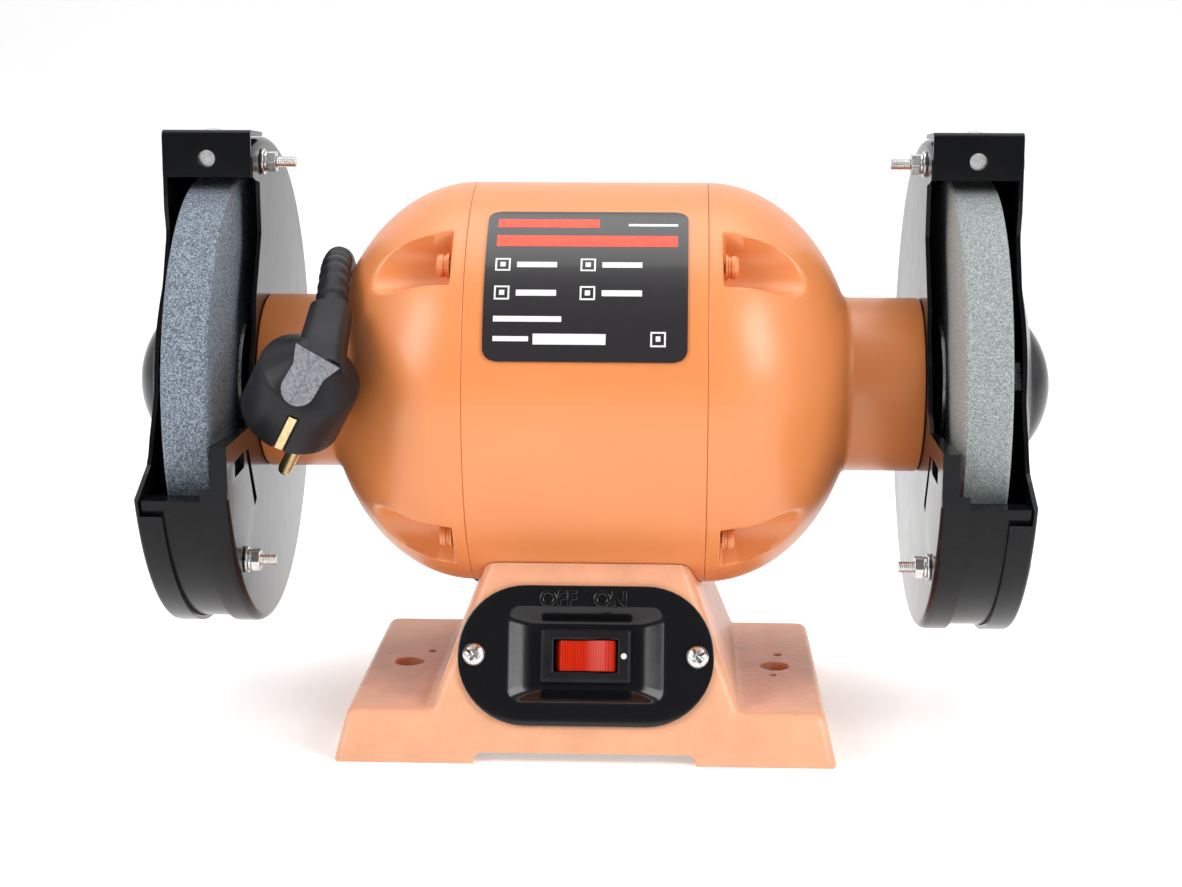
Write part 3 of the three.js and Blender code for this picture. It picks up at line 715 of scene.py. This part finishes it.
def make_bell_screws():
    head = POCKET_START + GAP
    for corner, angle in BELL_CORNERS.items():
        y, z = on_circle(SCREW_CIRCLE, angle)
        washer = turned([(head, 0), (head, 4.4), (head + 0.9, 4.4), (head + 0.9, 0)], 32, y, z)
        spring = turned([(head + 1, 0), (head + 1, 3.7), (head + 2, 3.7), (head + 2, 0)], 32, y, z)
        pan = turned([(head + 2.1, 0), (head + 2.1, 4), (head + 3.4, 4), (head + 4.3, 3.4), (head + 4.7, 2),
                      (head + 4.7, 0)], 32, y, z)
        shank = rod(2, 30, head + 3, y, z, 20)
        slot = moved(box(head + 3.6, head + 6, -0.55, 0.55, -6, 6), shift(0, y, z))
        for side, place in SIDES.items():
            made = bare_object(f"{side}_bell_screw_{corner}_detail", pan, place)
            carve(made, slot, place)
            rest = bare_object("rest", joined(washer, spring, shank), place)
            merge(made, rest)
            dress(made, orange, nodes=[f"{side}_bell_screw_{corner}"], edge=0.2)


def merge(target, other):
    work = bmesh.new()
    work.from_mesh(target.data)
    work.from_mesh(other.data)
    work.to_mesh(target.data)
    work.free()
    bpy.data.objects.remove(other)


# ---- data plate: a film bent round the shell, with plain bars and frames in place of any lettering ----
PLATE_HALF = 34.5
PLATE_TOP = 118
PLATE_BOTTOM = 166


# A strip on the motor's round between two heights along it, from its middle to a half width at each height.
def wrapped(middle, half_width, low, high, inner, outer, rows=24):
    rings = []
    for i in range(rows + 1):
        share = i / rows
        angle = PLATE_BOTTOM + (PLATE_TOP - PLATE_BOTTOM) * (low + (high - low) * share)
        half = half_width(share)
        ring = []
        for x, radius in ((-half, inner), (half, inner), (half, outer), (-half, outer)):
            y, z = on_circle(radius, angle)
            ring.append((middle + x, y, z))
        rings.append(ring)
    return skin(rings)


def make_nameplate():
    inner = MOTOR_RADIUS + GAP
    outer = inner + 0.45
    height = math.radians(PLATE_BOTTOM - PLATE_TOP) * outer
    corner = 4.5

    def rounded_half(share):
        up = min(share, 1 - share) * height
        inset = corner - math.sqrt(max(0, corner ** 2 - (corner - up) ** 2)) if up < corner else 0
        return PLATE_HALF - inset

    plate = wrapped(0, rounded_half, 0, 1, inner, outer, 96)
    add("nameplate_detail", plate, film, nodes=["nameplate"], edge=0)
    print_top = outer + 0.06

    def bar(left, right, low, high):
        half = (right - left) / 2
        return wrapped((left + right) / 2, lambda share: half, low, high, outer - 0.05, print_top, 6)

    def hollow_square(x, low):
        size, line = 5.2, 0.6
        tall = size / height
        thin = line / height
        return [bar(x, x + size, low, low + thin), bar(x, x + size, low + tall - thin, low + tall),
                bar(x, x + line, low, low + tall), bar(x + size - line, x + size, low, low + tall)]

    white = []
    for x in (-31, -2):
        for low in (0.35, 0.53):
            white += hollow_square(x, low)
            white.append(bar(x + 1.7, x + 3.5, low + 0.028, low + 0.058))
            white.append(bar(x + 7.4, x + 21, low + 0.024, low + 0.06))
    white.append(bar(-31, -8, 0.222, 0.254))
    white.append(bar(-31, -19, 0.112, 0.14))
    white.append(bar(-17.5, 7, 0.095, 0.155))
    white += hollow_square(22, 0.085)
    white.append(bar(23.8, 25.4, 0.115, 0.145))
    white.append(bar(14, 31, 0.865, 0.885))
    add("nameplate_white", joined(*white), white_print, edge=0)
    reds = [bar(-31, 31, 0.7, 0.785), bar(-31, 4, 0.85, 0.925)]
    add("nameplate_red", joined(*reds), red_print, edge=0)


make_shell()
make_bells()
make_bell_screws()
make_nameplate()


# ---- shaft and wheels ----
def make_wheels():
    crest = BORE_RADIUS - 0.15
    half = [(97.5, 10), (98, 7.5), (122, 7.5), (122.2, crest), (144, crest)]
    for i in range(10):
        half += [(144.6 + 1.5 * i, crest - 0.6), (145.3 + 1.5 * i, crest)]
    half += [(159.4, crest), (160, crest - 0.6)]
    profile = [(-160, 0), *[(-x, r) for x, r in reversed(half)], *half, (160, 0)]
    add("shaft_detail", turned(profile, 48), steel, "rotor", ["shaft"], edge=0)
    bore = BORE_RADIUS + 0.15
    edge = WHEEL_RADIUS - 0.8
    wheel = turned([(WHEEL_START, bore), (WHEEL_START, edge), (WHEEL_START + 0.8, WHEEL_RADIUS),
                    (WHEEL_END - 0.8, WHEEL_RADIUS), (WHEEL_END, edge), (WHEEL_END, bore)])
    add("right_wheel_detail", wheel, fine_grit, "rotor", ["right_wheel"], SIDES["right"], edge=0.25)
    add("left_wheel_detail", wheel, coarse_grit, "rotor", ["left_wheel"], SIDES["left"], edge=0.25)
    for name, face, out in (("inner_flange", WHEEL_START - GAP, -1), ("outer_flange", WHEEL_END + GAP, 1)):
        flange = turned([(face, bore), (face, 25), (face + out * 1.4, 25), (face + out * 2.0, 23.5),
                         (face + out * 2.6, 18), (face + out * 3.9, 13), (face + out * 4.2, 12),
                         (face + out * 4.2, bore)], 96)
        add_pair(name, flange, zinc, "rotor", edge=0.25)
    nut = rod(11, WHEEL_END + 4.8, WHEEL_END + 12.8, sides=6)
    nut_bore = rod(bore, WHEEL_END + 4, WHEEL_END + 14)
    for nut_piece in add_pair("shaft_nut", nut, zinc, "rotor", cuts=[nut_bore], edge=0.5):
        nut_piece.data.shade_flat()


make_wheels()

# ---- guards ----
LIP_HEIGHT = -29
STEP_HEIGHT = -10
PLATE_FRONT = 25.5
BAND_FRONT = 19
PLATE_LOW = 76
PLATE_HIGH = 92.5
BAND_RADIUS = GUARD_RADIUS - SHEET - GAP
COVER_RIM_TOP = -34.5
LIP_DEPTH = 12
LEVEL_SLOT = [(-71, -23), (-54.5, -22.5), (-54.5, -17), (-71, -17.5)]  # the two slots for a tool rest
SLANTED_SLOT = [(-51, -17.5), (-37.5, -40), (-33.2, -38), (-46.5, -17.5)]
BOLTS = {"top": (-8, 80.5, 106.5), "lower": (-56.5, -55, 108.2), "rear": (78, -24, 107.5)}  # y, z, end X
BOLT_RADIUS = 2
UPPER_EDGE = [(-PLATE_FRONT, 100), (-PLATE_FRONT, PLATE_LOW), (-20, 74.5), (-13, 73.5), (-12, 55),
              *arc(-56, 31, 30, 0, -40, 12), (-38, -4)]
INNER_OPENING = [*UPPER_EDGE, (-45, STEP_HEIGHT), (-FRONT_LIP, STEP_HEIGHT), (-FRONT_LIP, -45), (-100, -45),
                 (-100, 100)]
COVER_OPENING = [(-PLATE_FRONT, 100), (-PLATE_FRONT, 65), (-24.2, 60), (-23.5, 57), (-24, 54),
                 (-26, 50), (-33, 35), (-41, 19), (-48.5, 4), (-54, -5), (-58, -11), (-61, -17),
                 (-64, -20.5), (-70, -23),
                 (-FRONT_LIP, LIP_HEIGHT), (-FRONT_LIP, -45), (-100, -45), (-100, 100)]


def bolt_holes(start, end):
    return joined(*[rod(BOLT_RADIUS + 0.4, start, end, y, z) for y, z, _ in BOLTS.values()])


def make_inner_guards():
    x = GUARD_INNER
    rim_end = x + 9.5
    rim = [(x + 3 - px, GUARD_RADIUS - 3 + py) for px, py in arc(0, 0, 3, 0, 90, 8)]
    dish = turned([(x, 12), *rim, (rim_end, GUARD_RADIUS), (rim_end, GUARD_RADIUS - SHEET),
                   (x + SHEET, GUARD_RADIUS - SHEET), (x + SHEET, 12)])
    rest_slots = joined(*[slab(outline, x - 1, x + 3) for outline in (LEVEL_SLOT, SLANTED_SLOT)])
    flange_end = x + 5.8
    front = -FRONT_LIP + 0.05
    front_flange = box(x + 0.1, flange_end, front, front + SHEET, LIP_HEIGHT + 1, STEP_HEIGHT - 0.1)
    step_outline = [(x + 0.1, front), (flange_end, front), (x + 2.5, -45), (x + 0.1, -45)]
    step_flange = loft([(STEP_HEIGHT - SHEET, step_outline), (STEP_HEIGHT - 0.1, step_outline)])
    for side, place in SIDES.items():
        guard = bare_object(f"{side}_inner_guard_detail", dish, place)
        carve(guard, slab(INNER_OPENING, x - 5, rim_end + 5), place)
        carve(guard, joined(rest_slots, bolt_holes(x - 1, x + 3)), place)
        carve(guard, front_flange, place, "UNION")
        carve(guard, step_flange, place, "UNION")
        dress(guard, black, nodes=[f"{side}_inner_guard"], edge=0.35)


def make_bands():
    inner = BAND_RADIUS - SHEET
    lip_angle = 180 + math.degrees(math.asin(-LIP_HEIGHT / BAND_RADIUS))
    top_angle = 360 + math.degrees(math.acos(-BAND_FRONT / BAND_RADIUS))
    outline = [*arc(0, 0, BAND_RADIUS, lip_angle, top_angle, 110),
               *arc(0, 0, inner, top_angle, lip_angle + 1.2, 110),
               (LIP_DEPTH - FRONT_LIP, LIP_HEIGHT - SHEET), (LIP_DEPTH - FRONT_LIP, LIP_HEIGHT)]
    band = slab(outline, GUARD_INNER + SHEET + GAP, GUARD_OUTER - SHEET - GAP)
    add_pair("guard_band", band, black, edge=0.3)


CAP_APEX = 166.5
CAP_CURVE = 34
CAP_RADIUS = 23.5
CAP_FOOT = 49


def make_covers():
    x = GUARD_OUTER
    cap = [(CAP_APEX - CAP_CURVE + math.sqrt(CAP_CURVE ** 2 - radius ** 2), radius)
           for radius in (CAP_RADIUS * i / 16 for i in range(17))]
    shoulder = [(156.7, 24.2), (156.5, 25.2), (156.5, 27.2), (156.3, 28.4), (155.6, 31.2)]
    middle = [*cap, *shoulder, (x + 0.5, CAP_FOOT - 1.6), (x + 0.12, CAP_FOOT), (x, CAP_FOOT + 1.4)]
    inside = [(along - SHEET, radius) for along, radius in reversed([*cap, (156.3, 28), (x, CAP_FOOT)])]
    rim = [(x - 1.5 + px, GUARD_RADIUS - 1.5 + py) for px, py in arc(0, 0, 1.5, 0, 90, 5)]
    profile = [*middle, *rim, (x - 9, GUARD_RADIUS), (x - 9, GUARD_RADIUS - SHEET),
               (x - SHEET, GUARD_RADIUS - SHEET), *inside]
    rim_notch = box(x - 10, x - SHEET, -100, -70, COVER_RIM_TOP, 0)
    for side, place in SIDES.items():
        cover = bare_object(f"{side}_outer_cover_detail", turned(profile), place)
        carve(cover, slab(COVER_OPENING, x - 12, x + 20), place)
        carve(cover, joined(rim_notch, bolt_holes(x - 3, x + 3)), place)
        dress(cover, black, nodes=[f"{side}_outer_cover"], edge=0.3)


SHIELD_HOLE_Z = 82.5
SPARK_SCREW_Y = -16


def make_spark_guards():
    back = -PLATE_FRONT - GAP
    front = back - SHEET
    middle = (GUARD_INNER + GUARD_OUTER) / 2
    bend = arc(back + 0.8, PLATE_HIGH - 2.3, 2.3, 180, 96, 6)
    bracket = slab([(front, PLATE_LOW), (back, PLATE_LOW), (back, PLATE_HIGH - 1.9), (-4, 89.4), (-4, 90.9),
                    *reversed(bend)], GUARD_INNER + GAP, GUARD_OUTER - GAP)
    through = moved(rod(3, -5, 5), shift(middle, back, SHIELD_HOLE_Z) @ turning(90, "Z"))
    above = moved(rod(2, -5, 5), shift(middle, SPARK_SCREW_Y, 91) @ turning(90, "Y"))
    add_pair("spark_guard", bracket, black, cuts=[joined(through, above)], edge=0.25)
    screw = turned([(-3, 0), (-3, 1.8), (0, 1.8), (0, 3.4), (0.8, 3.4), (1.6, 2.6),
                    (1.9, 1.2), (1.9, 0)], 32)
    seat = shift(middle, SPARK_SCREW_Y, 90.7) @ turning(-90, "Y")
    for side, place in SIDES.items():
        add(f"{side}_spark_guard_screw", moved(screw, seat), zinc, place=place,
            cuts=[moved(box(1.1, 3, -0.5, 0.5, -5, 5), seat)], edge=0.15)


# A capped nut welded behind the spark guard's hole, for the eye shield's screw.
def make_shield_nuts():
    nut = turned([(23.2, 0), (23.2, 3.4), (24, 4.4), (25.3, 4.4), (25.3, 0)], 40)
    middle = (GUARD_INNER + GUARD_OUTER) / 2
    facing = shift(middle, 0, SHIELD_HOLE_Z) @ turning(-90, "Z")
    for side, place in SIDES.items():
        add(f"{side}_shield_nut", moved(nut, facing), zinc, place=place, edge=0.2)


def make_fasteners():
    out = GUARD_OUTER + GAP
    seat = GUARD_INNER - GAP
    for name, (y, z, end) in BOLTS.items():
        head = turned([(out, 0), (out, 3.6), (out + 0.9, 3.6), (out + 1.7, 3.2), (out + 2.3, 2.3),
                       (out + 2.6, 1), (out + 2.6, 0)], 40, y, z)
        shank = rod(BOLT_RADIUS, 114, out + 1, y, z, 24)
        screw_thread = thread(BOLT_RADIUS, end, 114, y, z, 0.7, 0.3)
        nut = rod(4.05, seat - 5.2, seat - 2.1, y, z, 6)
        spring = turned([(seat - 2, 2.1), (seat - 2, 3.7), (seat - 1, 3.7), (seat - 1, 2.1)], 32, y, z)
        washer = turned([(seat - 0.9, 2.1), (seat - 0.9, 4.7), (seat, 4.7), (seat, 2.1)], 40, y, z)
        slot = box(out + 1.4, out + 4, y - 0.5, y + 0.5, z - 5, z + 5)
        for side, place in SIDES.items():
            bolt = bare_object(f"{side}_guard_bolt_{name}_detail", head, place)
            carve(bolt, slot, place)
            merge(bolt, bare_object("rest", joined(shank, screw_thread), place))
            dress(bolt, zinc, nodes=[f"{side}_guard_bolt_{name}"], edge=0)
            made = bare_object(f"{side}_guard_nut_{name}_detail", nut, place)
            carve(made, rod(2.1, seat - 8, seat + 1, y, z), place)
            merge(made, bare_object("rest", joined(spring, washer), place))
            dress(made, zinc, nodes=[f"{side}_guard_nut_{name}"], edge=0.25)


make_inner_guards()
make_bands()
make_covers()
make_spark_guards()
make_shield_nuts()
make_fasteners()

# ---- base ----
FOOT_LOW = -SHAFT_HEIGHT
FOOT_HIGH = -107
ARCH = FOOT_LOW + 3.5
HOLLOW_TOP = -79
WALL = 5
FOOT_HOLE_X = 68.7
FOOT_HOLE_Y = -2
FOOT_HOLE_RADIUS = 5.1
SMALL_HOLES = [(70.5, 13.5), (67.5, -13.5), (-61.5, 12.5)]
SWITCH_HEIGHT = -88.7
SWITCH_SCREW_X = 39.2


def pedestal_x(z):
    return 35.5 + (FACE_TOP_Z - z) * 0.385


def pedestal_y(z):
    return FACE_TOP_Y + (FACE_TOP_Z - z) * math.tan(SLOPE)


FACE = shift(0, -pedestal_y(SWITCH_HEIGHT), SWITCH_HEIGHT) @ Matrix.Rotation(math.pi / 2 - SLOPE, 4, "X")
SWITCH = MACHINE @ FACE
UPRIGHT = turning(-90, "Y")  # turns a rod along X to point along Z


def section(z, inset, radius):
    return z, rounded(pedestal_x(z) - inset, pedestal_y(z) - inset, radius)


def make_base():
    base = bare_object("base_detail", loft([section(ARCH, 0, 4), section(-54, 0, 4)]), MACHINE)
    foot = loft([(FOOT_LOW, rounded(88, pedestal_y(FOOT_LOW), 3)),
                 (FOOT_HIGH - 1.5, rounded(84, pedestal_y(FOOT_HIGH - 1.5), 3)),
                 (FOOT_HIGH, rounded(82.5, pedestal_y(FOOT_HIGH) - 1, 3))])
    carve(base, foot, MACHINE, "UNION")
    carve(base, loft([section(FOOT_LOW - 2, WALL, 3), section(HOLLOW_TOP, WALL, 3)]), MACHINE)
    carve(base, slab([(-80, ARCH - 10), (80, ARCH - 10), (80, ARCH), (-80, ARCH)], -38.5, 38.5), MACHINE)
    carve(base, moved(loft([(-16, rounded(28, 19.5, 3)), (4, rounded(28, 19.5, 3))]), FACE), MACHINE)
    gland = moved(rod(6.3, 46, 86, 0, 0), shift(GLAND_X, 0, GLAND_Z) @ turning(90, "Z"))
    holes = [gland]
    for side in (-1, 1):
        at = shift(side * FOOT_HOLE_X, FOOT_HOLE_Y, FOOT_LOW) @ UPRIGHT
        holes.append(moved(rod(FOOT_HOLE_RADIUS, -30, 30, 0, 0), at))
    for x, y in SMALL_HOLES:
        holes.append(moved(rod(1.5, -30, 30, 0, 0, 20), shift(x, y, FOOT_LOW) @ UPRIGHT))
    carve(base, joined(*holes), MACHINE)
    remesh = base.modifiers.new("casting", "REMESH")
    remesh.mode = "VOXEL"
    remesh.voxel_size = 0.001
    soften = base.modifiers.new("soften", "SMOOTH")
    soften.iterations = 3
    soften.factor = 0.5
    apply_modifiers(base)
    carve(base, rod(MOTOR_RADIUS + GAP, -100, 100, sides=ROUND), MACHINE)
    dress(base, cast, nodes=["base"], edge=0)


def make_strain_relief():
    profile = [(GLAND_START, 0), (GLAND_START, 5.6), (GLAND_START + 0.4, 6), (GLAND_SEAT, 6),
               (GLAND_SEAT, 8), (GLAND_SEAT + 2.5, 8), (GLAND_SEAT + 3.5, 7)]
    for i in range(6):
        at = GLAND_SEAT + 5 + 4 * i
        radius = 6.9 - 0.28 * i
        profile += [(at, radius), (at + 0.4, radius - 1.1), (at + 1.6, radius - 1.1), (at + 2, radius - 0.1)]
    profile += [(GLAND_END, 5), (GLAND_END, 0)]
    turn = shift(GLAND_X, 0, GLAND_Z) @ turning(90, "Z")
    add("strain_relief_detail", moved(turned(profile, 48), turn), rubber, nodes=["strain_relief"], edge=0)


# ---- switch, drawn on its own face: x across, y up the slope, z out of it ----
PLATE_OUT = 1.8
PAN_FLOOR = -2.5
ROCKER_HALF_X = 8
ROCKER_HALF_Y = 5.4
ROCKER_EDGE = 4.6
ROCKER_MIDDLE = 3
ROCKER_PIVOT = -2.5
ROCKER_TILT = 9


# Each section is a height, half a width, half a depth and a corner radius.
def make_switch_plate():
    rim = [(0.3, 45, 24.6, 24), (1.2, 45, 24.6, 24), (1.6, 44.85, 24.45, 23.9), (PLATE_OUT, 44.4, 24, 23.6)]
    pan = [(PLATE_OUT, 29.2, 17.6, 6), (1.7, 28.2, 16.9, 5.2), (1.35, 27.2, 16.2, 4.6),
           (0.7, 25.9, 15.4, 4.0), (-0.9, 22.6, 13.8, 3.2), (-1.8, 20.4, 12.8, 2.8),
           (-2.3, 18.9, 11.8, 2.4), (PAN_FLOOR, 17.6, 11, 2)]
    opening = [(PAN_FLOOR, 14.6, 7.8, 0.8), (-4, 14.6, 7.8, 0.8)]
    back = [(-4, 18.6, 12, 2), (-2.2, 22, 14, 3), (-0.2, 26.4, 17.3, 4), (0.3, 28, 19, 5)]
    sections = [*rim, *pan, *opening, *back]
    shape = loft([(z, rounded(hx, hy, r, 12)) for z, hx, hy, r in sections], looped=True)
    add("switch_plate_detail", shape, enamel, nodes=["switch_plate"], place=SWITCH, edge=0)


def make_switch_lettering():
    for word, x in (("OFF", -9.9), ("ON", 8.5)):
        curve = bpy.data.curves.new(f"switch_word_{word.lower()}", "FONT")
        curve.body = word
        curve.size = 7.4
        curve.align_x = "CENTER"
        curve.align_y = "CENTER"
        curve.extrude = 0.4
        curve.bevel_depth = 0.5
        curve.bevel_resolution = 2
        text = bpy.data.objects.new(curve.name, curve)
        scene.collection.objects.link(text)
        made = bpy.data.meshes.new_from_object(text.evaluated_get(bpy.context.evaluated_depsgraph_get()))
        bpy.data.objects.remove(text)
        made.transform(SWITCH @ shift(x, 19.6, PLATE_OUT))
        letters = bpy.data.objects.new(curve.name, made)
        scene.collection.objects.link(letters)
        dress(letters, enamel, edge=0)


def make_switch_body():
    pocket = rounded(11.3, 5.7, 0.4)
    barrel = rounded(14.3, 7.5, 0.6)
    sections = [(-8, pocket), (1.2, pocket), (1.55, rounded(11.7, 6.1, 0.5)),
                (1.6, rounded(12, 6.4, 0.6)), (1.6, rounded(14.9, 8.3, 0.9)),
                (1.45, rounded(15.3, 8.7, 1)), (0.7, rounded(15.95, 9.35, 1)),
                (-2.2, rounded(16, 9.4, 1)), (-2.2, barrel), (-22, barrel)]
    add("switch_body_detail", loft(sections), plastic, nodes=["switch_body"], place=SWITCH, edge=0)
    dot = turned([(1.5, 0), (1.5, 1.1), (1.66, 1.0), (1.66, 0)], 32)
    at = shift(13.4, 0, 0) @ UPRIGHT
    add("switch_dot", moved(dot, at), white_print, place=SWITCH, edge=0)


def make_rocker():
    half_x, edge = ROCKER_HALF_X, ROCKER_EDGE
    top = [(x, ROCKER_MIDDLE + (edge - ROCKER_MIDDLE) * (abs(x) / half_x) ** 1.25)
           for x in (half_x * i / 12 for i in range(12, -13, -1))]
    outline = [*top, (-half_x - 0.5, edge - 0.4), (-10.8, 1), (-10.5, -3), (-6, -4),
               (6, -4), (10.5, -3), (10.8, 1), (half_x + 0.5, edge - 0.4)]
    along_y = turning(-90, "Z")
    shape = moved(slab([(-x, z) for x, z in outline], -ROCKER_HALF_Y, ROCKER_HALF_Y), along_y)
    tilt = shift(0, 0, ROCKER_PIVOT) @ turning(-ROCKER_TILT, "Y")
    add("switch_rocker_detail", shape, red, "rocker", ["switch_rocker"], SWITCH @ tilt, edge=0.35)


def make_switch_screws():
    head = turned([(PLATE_OUT + GAP, 0), (PLATE_OUT + GAP, 4), (PLATE_OUT + 1.0, 4), (PLATE_OUT + 1.8, 3.5),
                   (PLATE_OUT + 2.4, 2.4), (PLATE_OUT + 2.7, 1.0), (PLATE_OUT + 2.7, 0)], 48)
    cross = joined(box(PLATE_OUT + 1.4, PLATE_OUT + 4, -2.4, 2.4, -0.5, 0.5),
                   box(PLATE_OUT + 1.4, PLATE_OUT + 4, -0.5, 0.5, -2.4, 2.4))
    for side, sign in (("right", 1), ("left", -1)):
        at = shift(sign * SWITCH_SCREW_X, 0, 0) @ UPRIGHT
        at = at @ turning(30 * sign, "X")
        made = bare_object(f"{side}_switch_screw_detail", moved(head, at), SWITCH)
        carve(made, moved(cross, at), SWITCH)
        merge(made, bare_object("rest", moved(rod(1.9, -8, PLATE_OUT + 0.5), at), SWITCH))
        dress(made, zinc, nodes=[f"{side}_switch_screw"], edge=0.15)


make_base()
make_strain_relief()
make_switch_plate()
make_switch_lettering()
make_switch_body()
make_rocker()
make_switch_screws()


# ---- inside the machine: the CAD solids are right, and only need their surfaces ----
def finish_node(node, look):
    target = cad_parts[node]
    target.data.materials.clear()
    target.data.materials.append(look.material)


for inner_node, inner_look in {
        "bottom_cover": zinc, "capacitor": can, "stator_core": core, "rotor_core": core,
        "right_stator_winding": copper, "left_stator_winding": copper,
        "right_bearing": steel, "left_bearing": steel}.items():
    finish_node(inner_node, inner_look)


# ---- floor and light ----
def make_stage():
    sweep = [(-2.2, 0), (1.2, 0), *[(1.2 + y, 0.9 + z) for y, z in arc(0, 0, 0.9, -80, 0, 10)], (2.1, 3)]
    rings = [[(x, y, z) for x in (-3.5, 3.5)] for y, z in sweep]
    vertices = [point for ring in rings for point in ring]
    faces = [[2 * i, 2 * i + 1, 2 * i + 3, 2 * i + 2] for i in range(len(sweep) - 1)]
    mesh = bpy.data.meshes.new("floor")
    mesh.from_pydata(vertices, [], faces)
    mesh.shade_smooth()
    mesh.materials.append(pale_floor.material)
    floor = bpy.data.objects.new("floor", mesh)
    scene.collection.objects.link(floor)


# White surroundings, dimmer on the operator's side.
def make_surroundings():
    world = bpy.data.worlds.new("studio")
    world.use_nodes = True
    nodes, links = world.node_tree.nodes, world.node_tree.links
    axes = nodes.new("ShaderNodeSeparateXYZ")
    spread = nodes.new("ShaderNodeMapRange")
    spread.inputs["From Min"].default_value = -0.7
    spread.inputs["From Max"].default_value = 0.5
    spread.inputs["To Min"].default_value = 0.18
    spread.inputs["To Max"].default_value = 1.2
    links.new(nodes.new("ShaderNodeTexCoord").outputs["Generated"], axes.inputs["Vector"])
    links.new(axes.outputs["Y"], spread.inputs["Value"])
    links.new(spread.outputs["Result"], nodes["Background"].inputs["Strength"])
    nodes["Background"].inputs["Color"].default_value = (1, 1, 1, 1)
    scene.world = world


def add_softbox(name, place, target, size, power):
    data = bpy.data.lights.new(name, "AREA")
    data.shape = "RECTANGLE"
    data.size, data.size_y = size
    data.energy = power
    light = bpy.data.objects.new(name, data)
    light.location = place
    light.visible_camera = False
    light.rotation_euler = (Vector(target) - Vector(place)).to_track_quat("-Z", "Y").to_euler()
    scene.collection.objects.link(light)


make_stage()
make_surroundings()
add_softbox("left_softbox", (-1.1, -0.8, 0.85), (0, 0, 0.12), (0.6, 0.9), 11)
add_softbox("right_softbox", (1.15, -0.85, 0.85), (0, 0, 0.12), (0.6, 0.9), 14)
add_softbox("top_softbox", (0, 0.1, 1.5), (0, 0, 0.12), (1.4, 1.0), 9)
scene.view_settings.view_transform = "Standard"
scene.view_settings.look = "None"
